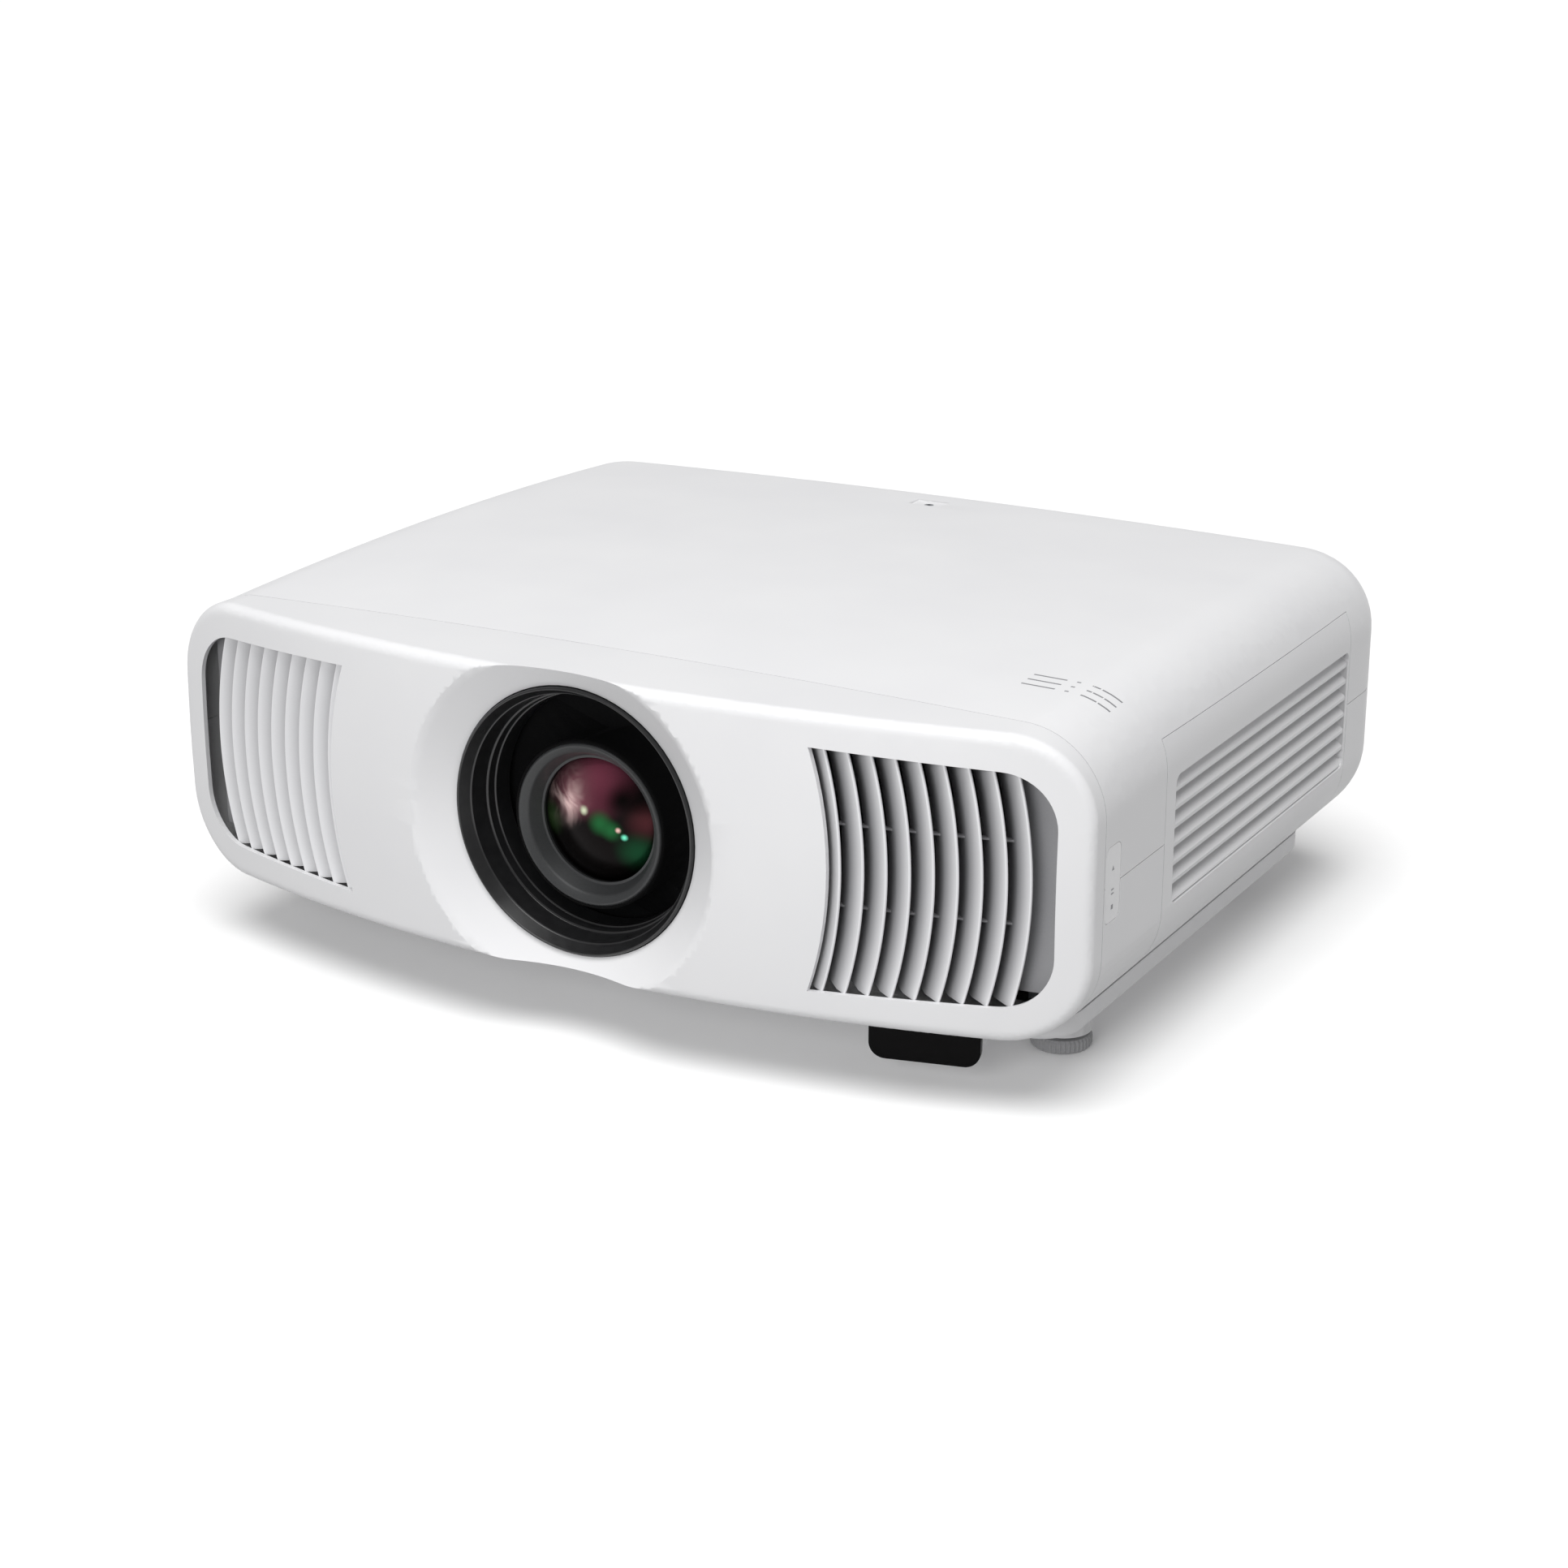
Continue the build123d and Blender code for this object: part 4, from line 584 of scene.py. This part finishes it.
def grille_rim():
    """The frame round the louvres, following the bowed face."""
    bm = bmesh.new()
    corners = [bm.verts.new((x, 0, z)) for x, z in APERTURE]
    bm.faces.new(corners)
    bmesh.ops.bevel(bm, geom=corners[3:], offset=APERTURE_CORNER, segments=12, profile=0.5, affect="VERTICES",
                    material=-1)
    bmesh.ops.bevel(bm, geom=[corners[1]], offset=APERTURE_BEND, segments=10, profile=0.35, affect="VERTICES",
                    material=-1)
    bmesh.ops.subdivide_edges(bm, edges=[e for e in bm.edges if e.calc_length() > 12], cuts=8)
    bmesh.ops.inset_region(bm, faces=bm.faces[:], thickness=RIM_GAP, use_even_offset=True)
    inner = bmesh.ops.inset_region(bm, faces=[max(bm.faces, key=lambda f: f.calc_area())],
                                   thickness=RIM_WIDE, use_even_offset=True)
    ring = inner["faces"]
    bmesh.ops.delete(bm, geom=[f for f in bm.faces if f not in ring], context="FACES")
    bmesh.ops.delete(bm, geom=[v for v in bm.verts if not v.link_faces], context="VERTS")
    back = bmesh.ops.extrude_face_region(bm, geom=bm.faces[:])
    moved_back = {v for v in back["geom"] if isinstance(v, bmesh.types.BMVert)}
    for v in bm.verts:
        v.co.y = RIM_BACK_Y if v in moved_back else front_y(v.co.x, v.co.z) + RIM_SUNK
    return bm


def grille_rib(z):
    """A thin cross rib behind the louvres."""
    bm = bmesh.new()
    bmesh.ops.create_grid(bm, x_segments=10, y_segments=1, size=0.5)
    bmesh.ops.transform(bm, verts=bm.verts, matrix=Matrix.Translation((RIB_MID_X, 0, z - RIB_TALL / 2)) @
                        Matrix.Diagonal((RIB_LONG, 1, 1, 1)))
    top = bmesh.ops.extrude_face_region(bm, geom=bm.faces[:])
    raised = [v for v in top["geom"] if isinstance(v, bmesh.types.BMVert)]
    bmesh.ops.translate(bm, vec=(0, 0, RIB_TALL), verts=raised)
    for v in bm.verts:
        v.co.y = front_y(v.co.x) + (RIB_FRONT if v.co.y < 0 else RIB_BACK)
    return bm


def grille_strip():
    """The blank strip between the outermost louvre and the rim, set back from the face."""
    bm = bmesh.new()
    bmesh.ops.create_grid(bm, x_segments=4, y_segments=10, size=0.5)
    bmesh.ops.transform(bm, verts=bm.verts,
                        matrix=Matrix.Translation((STRIP_OUT_X - STRIP_WIDE / 2, 0, BLADE_MID_Z)) @
                        Matrix.Rotation(math.pi / 2, 4, "X") @
                        Matrix.Diagonal((STRIP_WIDE, STRIP_TALL, 1, 1)))
    back = bmesh.ops.extrude_face_region(bm, geom=bm.faces[:])
    moved_back = {v for v in back["geom"] if isinstance(v, bmesh.types.BMVert)}
    for v in bm.verts:
        bow = BLADE_ARC - math.sqrt(BLADE_ARC ** 2 - (v.co.z - BLADE_MID_Z) ** 2)
        v.co.x -= bow * (STRIP_OUT_X - v.co.x) / STRIP_WIDE
        v.co.y = front_y(v.co.x) + STRIP_SUNK + (STRIP_OUT_X - v.co.x) * STRIP_LEAN
        if v in moved_back:
            v.co.y += STRIP_THICK
    return bm


for side, node in ((1, "right_grille"), (-1, "left_grille")):
    parts = [grille_blade(FIRST_BLADE + i * BLADE_PITCH) for i in range(BLADES)]
    parts += [grille_rim(), grille_rib(BLADE_MID_Z - RIB_OFF_MID), grille_rib(BLADE_MID_Z + RIB_OFF_MID),
              grille_strip()]
    louvres = gathered(parts)
    depth = louvres.verts.layers.float.new("depth")
    for v in louvres.verts:
        v[depth] = v.co.y - front_y(v.co.x, v.co.z)
    bmesh.ops.scale(louvres, vec=(side, 1, 1), verts=louvres.verts)
    piece(node + "_louvres", louvres, louvre_white, [node], corner=40)

# ---- lens hood ----
# A black ABS ring in the throat of the dish, a little shiny: a broad chamfer in front, small steps
# behind it and a flange at the back that holds it.
black_gloss, shader, place = start("black_abs_polished", {"Roughness": 0.3, "IOR": 1.53})
swirl = add(black_gloss, "ShaderNodeTexNoise", {"Scale": 1 / (5 * MM), "Detail": 3.0}, {"Vector": place})
ramp = add(black_gloss, "ShaderNodeValToRGB", {}, {"Fac": swirl.outputs["Fac"]})
ramp.color_ramp.elements[0].color = linear("161617")
ramp.color_ramp.elements[1].color = linear("232324")
dull = add(black_gloss, "ShaderNodeMapRange", {"To Min": 0.24, "To Max": 0.36},
           {"Value": swirl.outputs["Fac"]})
black_gloss.node_tree.links.new(ramp.outputs["Color"], shader.inputs["Base Color"])
black_gloss.node_tree.links.new(dull.outputs["Result"], shader.inputs["Roughness"])
low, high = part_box("lens_hood")
HOOD_Z, HOOD_FRONT, HOOD_BACK = (low.z + high.z) / 2 / MM, low.y / MM, high.y / MM
HOOD_R, FLANGE_R, FLANGE_THICK = 67.8, 70.8, 3.0
hood = turned([(HOOD_R, HOOD_FRONT + 1.6), (67.0, HOOD_FRONT), (66.2, HOOD_FRONT + 0.2),
               (63.4, HOOD_FRONT + 6.6), (62.8, HOOD_FRONT + 7.0), (61.6, HOOD_FRONT + 17.6),
               (60.6, HOOD_FRONT + 18.0),
               (60.2, HOOD_FRONT + 22.6), (59.4, HOOD_FRONT + 23.0), (58.8, HOOD_BACK - 0.2),
               (FLANGE_R, HOOD_BACK - 0.2), (FLANGE_R, HOOD_BACK - FLANGE_THICK),
               (HOOD_R, HOOD_BACK - FLANGE_THICK)],
              [(0, 0.5), (1, 0.6), (2, 0.4), (3, 0.4), (5, 0.4), (7, 0.3)], 192)
piece("hood_ring", moved(hood, Matrix.Translation((0, 0, HOOD_Z))), black_gloss, ["lens_hood"])

# ---- receiver and indicator window ----
# The infrared window is smoked acrylic, polished. The indicator window is polished white ABS, on the
# right side near the front.
smoked, shader, place = start("smoked_acrylic", {"Roughness": 0.12, "IOR": 1.49, "Specular IOR Level": 0.06})
film = add(smoked, "ShaderNodeTexNoise", {"Scale": 1 / (3 * MM), "Detail": 2.0}, {"Vector": place})
ramp = add(smoked, "ShaderNodeValToRGB", {}, {"Fac": film.outputs["Fac"]})
ramp.color_ramp.elements[0].color = linear("020202")
ramp.color_ramp.elements[1].color = linear("060506")
smoked.node_tree.links.new(ramp.outputs["Color"], shader.inputs["Base Color"])
finished_copy("receiver_moulding", "receiver_window", smoked)
indicator = finished_copy("indicator_moulding", "indicator_window", gloss)
# Its face is held back to here, so that the ink on it doesn't stand out beyond the case.
INDICATOR_FACE = 259.9
for v in indicator.data.vertices:
    v.co.x = min(v.co.x, INDICATOR_FACE * MM)

# ---- printed marks ----
# Grey ink, pad printed: plain legends on the top, and signs by the lamps and on the buttons. A film
# stands 0.03 mm out of its surface and goes as far into it, so that it is closed.
ink, shader, place = start("grey_pad_printing_ink", {"Roughness": 0.5})
thin = add(ink, "ShaderNodeTexNoise", {"Scale": 1 / (0.5 * MM), "Detail": 3.0}, {"Vector": place})
ramp = add(ink, "ShaderNodeValToRGB", {}, {"Fac": thin.outputs["Fac"]})
ramp.color_ramp.elements[0].color = linear("77777A")
ramp.color_ramp.elements[1].color = linear("98989B")
ink.node_tree.links.new(ramp.outputs["Color"], shader.inputs["Base Color"])
INK_THICK, CLEAR_OF_SKIN, LONGEST_EDGE = 0.03, 40.0, 2.5


def printed(outlines, skin, look):
    """Closed films of ink laid on a skin. Outlines are drawn in the plane across the look direction."""
    tree = BVHTree.FromPolygons([v.co / MM for v in skin.data.vertices],
                                [tuple(face.vertices) for face in skin.data.polygons])
    films = []
    for outline in outlines:
        bm = bmesh.new()
        bm.faces.new([bm.verts.new(point) for point in outline])
        for _ in range(5):
            bmesh.ops.subdivide_edges(bm, edges=[e for e in bm.edges if e.calc_length() > LONGEST_EDGE],
                                      cuts=1)
        bmesh.ops.triangulate(bm, faces=bm.faces)
        back = bmesh.ops.extrude_face_region(bm, geom=bm.faces[:])
        under = {v for v in back["geom"] if isinstance(v, bmesh.types.BMVert)}
        for v in bm.verts:
            hit = tree.ray_cast(v.co - CLEAR_OF_SKIN * look, look)[0]
            v.co = hit + look * (INK_THICK if v in under else -INK_THICK)
        films.append(bm)
    return gathered(films)


def on_side(middle, shapes):
    """Outlines on a side of the case, from shapes drawn across and up from the middle of a sign."""
    return [[(middle[0], middle[1] + across, middle[2] + up) for across, up in shape] for shape in shapes]


def bar(across, up, long, tall):
    """A straight bar, given by its centre and its size."""
    return [(across - long / 2, up - tall / 2), (across + long / 2, up - tall / 2),
            (across + long / 2, up + tall / 2), (across - long / 2, up + tall / 2)]


ARROW_R = 1.5


def arrow(turn):
    """A triangle that points up when unturned."""
    turns = [turn + i * math.tau / 3 for i in range(3)]
    return [(ARROW_R * math.sin(angle), ARROW_R * math.cos(angle)) for angle in turns]


LEGEND_ROWS, LEGEND_TALL, LEGEND_Z = (-112.5, -119.5, -126.5), 1.3, 190
LEGENDS = ((204, 17), (218.5, 2), (233, 15))  # middle and length
legends = [[(x, y + row, LEGEND_Z) for x, y in bar(middle, 0, long, LEGEND_TALL)]
           for row in LEGEND_ROWS for middle, long in LEGENDS]
piece("top_legends", printed(legends, frame["nodes"]["top_cover"], Vector((0, 0, -1))), ink, body="case")
LAMP_SIGNS_AT = (258, -162, 119)
lamp_signs = [arrow(0), bar(0, -10, 3, 0.7), bar(0, -12, 3, 0.7), bar(0, -18.5, 2.2, 2.2)]
piece("indicator_signs", printed(on_side(LAMP_SIGNS_AT, lamp_signs), indicator, Vector((-1, 0, 0))), ink,
      body="case")
SIGNS = {"power_button": [bar(0, 1.2, 0.9, 3.4), bar(0, -2.2, 3.6, 0.9)],
         "enter_button": [bar(0, 0, 3, 3)],
         "menu_button": [bar(0, up, 4.2, 0.7) for up in (-1.6, 0, 1.6)],
         "up_button": [arrow(0)],
         "down_button": [arrow(math.pi)],
         "left_button": [arrow(math.pi / 2)],
         "right_button": [arrow(-math.pi / 2)]}
for name, shapes in SIGNS.items():
    low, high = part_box(name)
    middle = (low.x / MM, (low.y + high.y) / 2 / MM, (low.z + high.z) / 2 / MM)
    sign = printed(on_side(middle, shapes), frame["nodes"][name], Vector((1, 0, 0)))
    piece(name + "_sign", sign, ink, body=name)

# ---- filter cover and filter ----
# The slatted cover of the right side, same ABS, and behind it a pleated dust filter of white fleece.
# They come off together.
finished_copy("filter_cover_moulding", "filter_cover", white)
fleece, shader, place = start("pleated_filter_fleece", {"Roughness": 0.95, "Sheen Weight": 0.3})
felt = add(fleece, "ShaderNodeTexNoise", {"Scale": 1 / (0.8 * MM), "Detail": 6.0, "Roughness": 0.7},
           {"Vector": place})
ramp = add(fleece, "ShaderNodeValToRGB", {}, {"Fac": felt.outputs["Fac"]})
ramp.color_ramp.elements[0].color = linear("9C9C99")
ramp.color_ramp.elements[1].color = linear("D0D0CC")
bump = add(fleece, "ShaderNodeBump", {"Strength": 0.6, "Distance": 0.2 * MM}, {"Height": felt.outputs["Fac"]})
fleece.node_tree.links.new(ramp.outputs["Color"], shader.inputs["Base Color"])
fleece.node_tree.links.new(bump.outputs["Normal"], shader.inputs["Normal"])
finish_node(fleece, "filter_element")

# ---- camera, floor and light ----
# A camera a little above the projector and to its right, a wide white floor and an evenly white room,
# with a broad key light from above and a round softbox low in front.
CAMERA_PLACE, CAMERA_AZIMUTH, CAMERA_ELEVATION = (0.7551, -1.3379, 0.5910), 29.53, 18.81
CAMERA_LENS, CAMERA_SENSOR = 68.708, 36.0
camera = bpy.data.objects.new("camera", bpy.data.cameras.new("camera"))
camera.data.lens = CAMERA_LENS
camera.data.sensor_width = CAMERA_SENSOR
camera.location = CAMERA_PLACE
camera.rotation_euler = (math.radians(90 - CAMERA_ELEVATION), 0, math.radians(CAMERA_AZIMUTH))
bpy.context.scene.collection.objects.link(camera)
bpy.context.scene.camera = camera
bpy.context.scene.view_settings.view_transform = "Standard"

paper, shader, place = start("white_paper_sweep", {"Roughness": 0.9, "Specular IOR Level": 0.1})
tooth = add(paper, "ShaderNodeTexNoise", {"Scale": 1 / (30 * MM), "Detail": 2.0}, {"Vector": place})
ramp = add(paper, "ShaderNodeValToRGB", {}, {"Fac": tooth.outputs["Fac"]})
ramp.color_ramp.elements[0].color = linear("FDFDFD")
ramp.color_ramp.elements[1].color = linear("FFFFFF")
paper.node_tree.links.new(ramp.outputs["Color"], shader.inputs["Base Color"])
FLOOR_REACH = 100.0
bm = bmesh.new()
bmesh.ops.create_grid(bm, x_segments=8, y_segments=8, size=FLOOR_REACH)
mesh = bpy.data.meshes.new("floor")
bm.to_mesh(mesh)
bm.free()
mesh.materials.append(paper)
floor = bpy.data.objects.new("floor", mesh)
bpy.context.scene.collection.objects.link(floor)
# The floor throws no light back up, which keeps the undercut parts of the case from going white.
floor.visible_diffuse = False

ROOM_LIGHT = 0.37
world = bpy.data.worlds.new("studio")
world.use_nodes = True
world.node_tree.nodes["Background"].inputs["Color"].default_value = (1, 1, 1, 1)
world.node_tree.nodes["Background"].inputs["Strength"].default_value = ROOM_LIGHT
bpy.context.scene.world = world


LIGHTS_AIM_AT = Vector((0, -0.05, 0.1))


def lamp(name, kind, place, settings):
    """A light aimed at the middle of the projector."""
    light = bpy.data.lights.new(name, kind)
    for key, value in settings.items():
        setattr(light, key, value)
    made = bpy.data.objects.new(name, light)
    made.location = place
    aim = LIGHTS_AIM_AT - Vector(place)
    made.rotation_euler = aim.to_track_quat("-Z", "Y").to_euler()
    bpy.context.scene.collection.objects.link(made)
    return made


lamp("key", "SUN", (0.3, -0.8, 3.4), {"energy": 2.3, "angle": math.radians(50)})
softbox = lamp("softbox", "AREA", (0.3, -1.3, 0.45), {"energy": 6.5, "shape": "DISK", "size": 0.6})
# Out of the reflections, so that no bright disc shows in the case.
softbox.visible_glossy = False
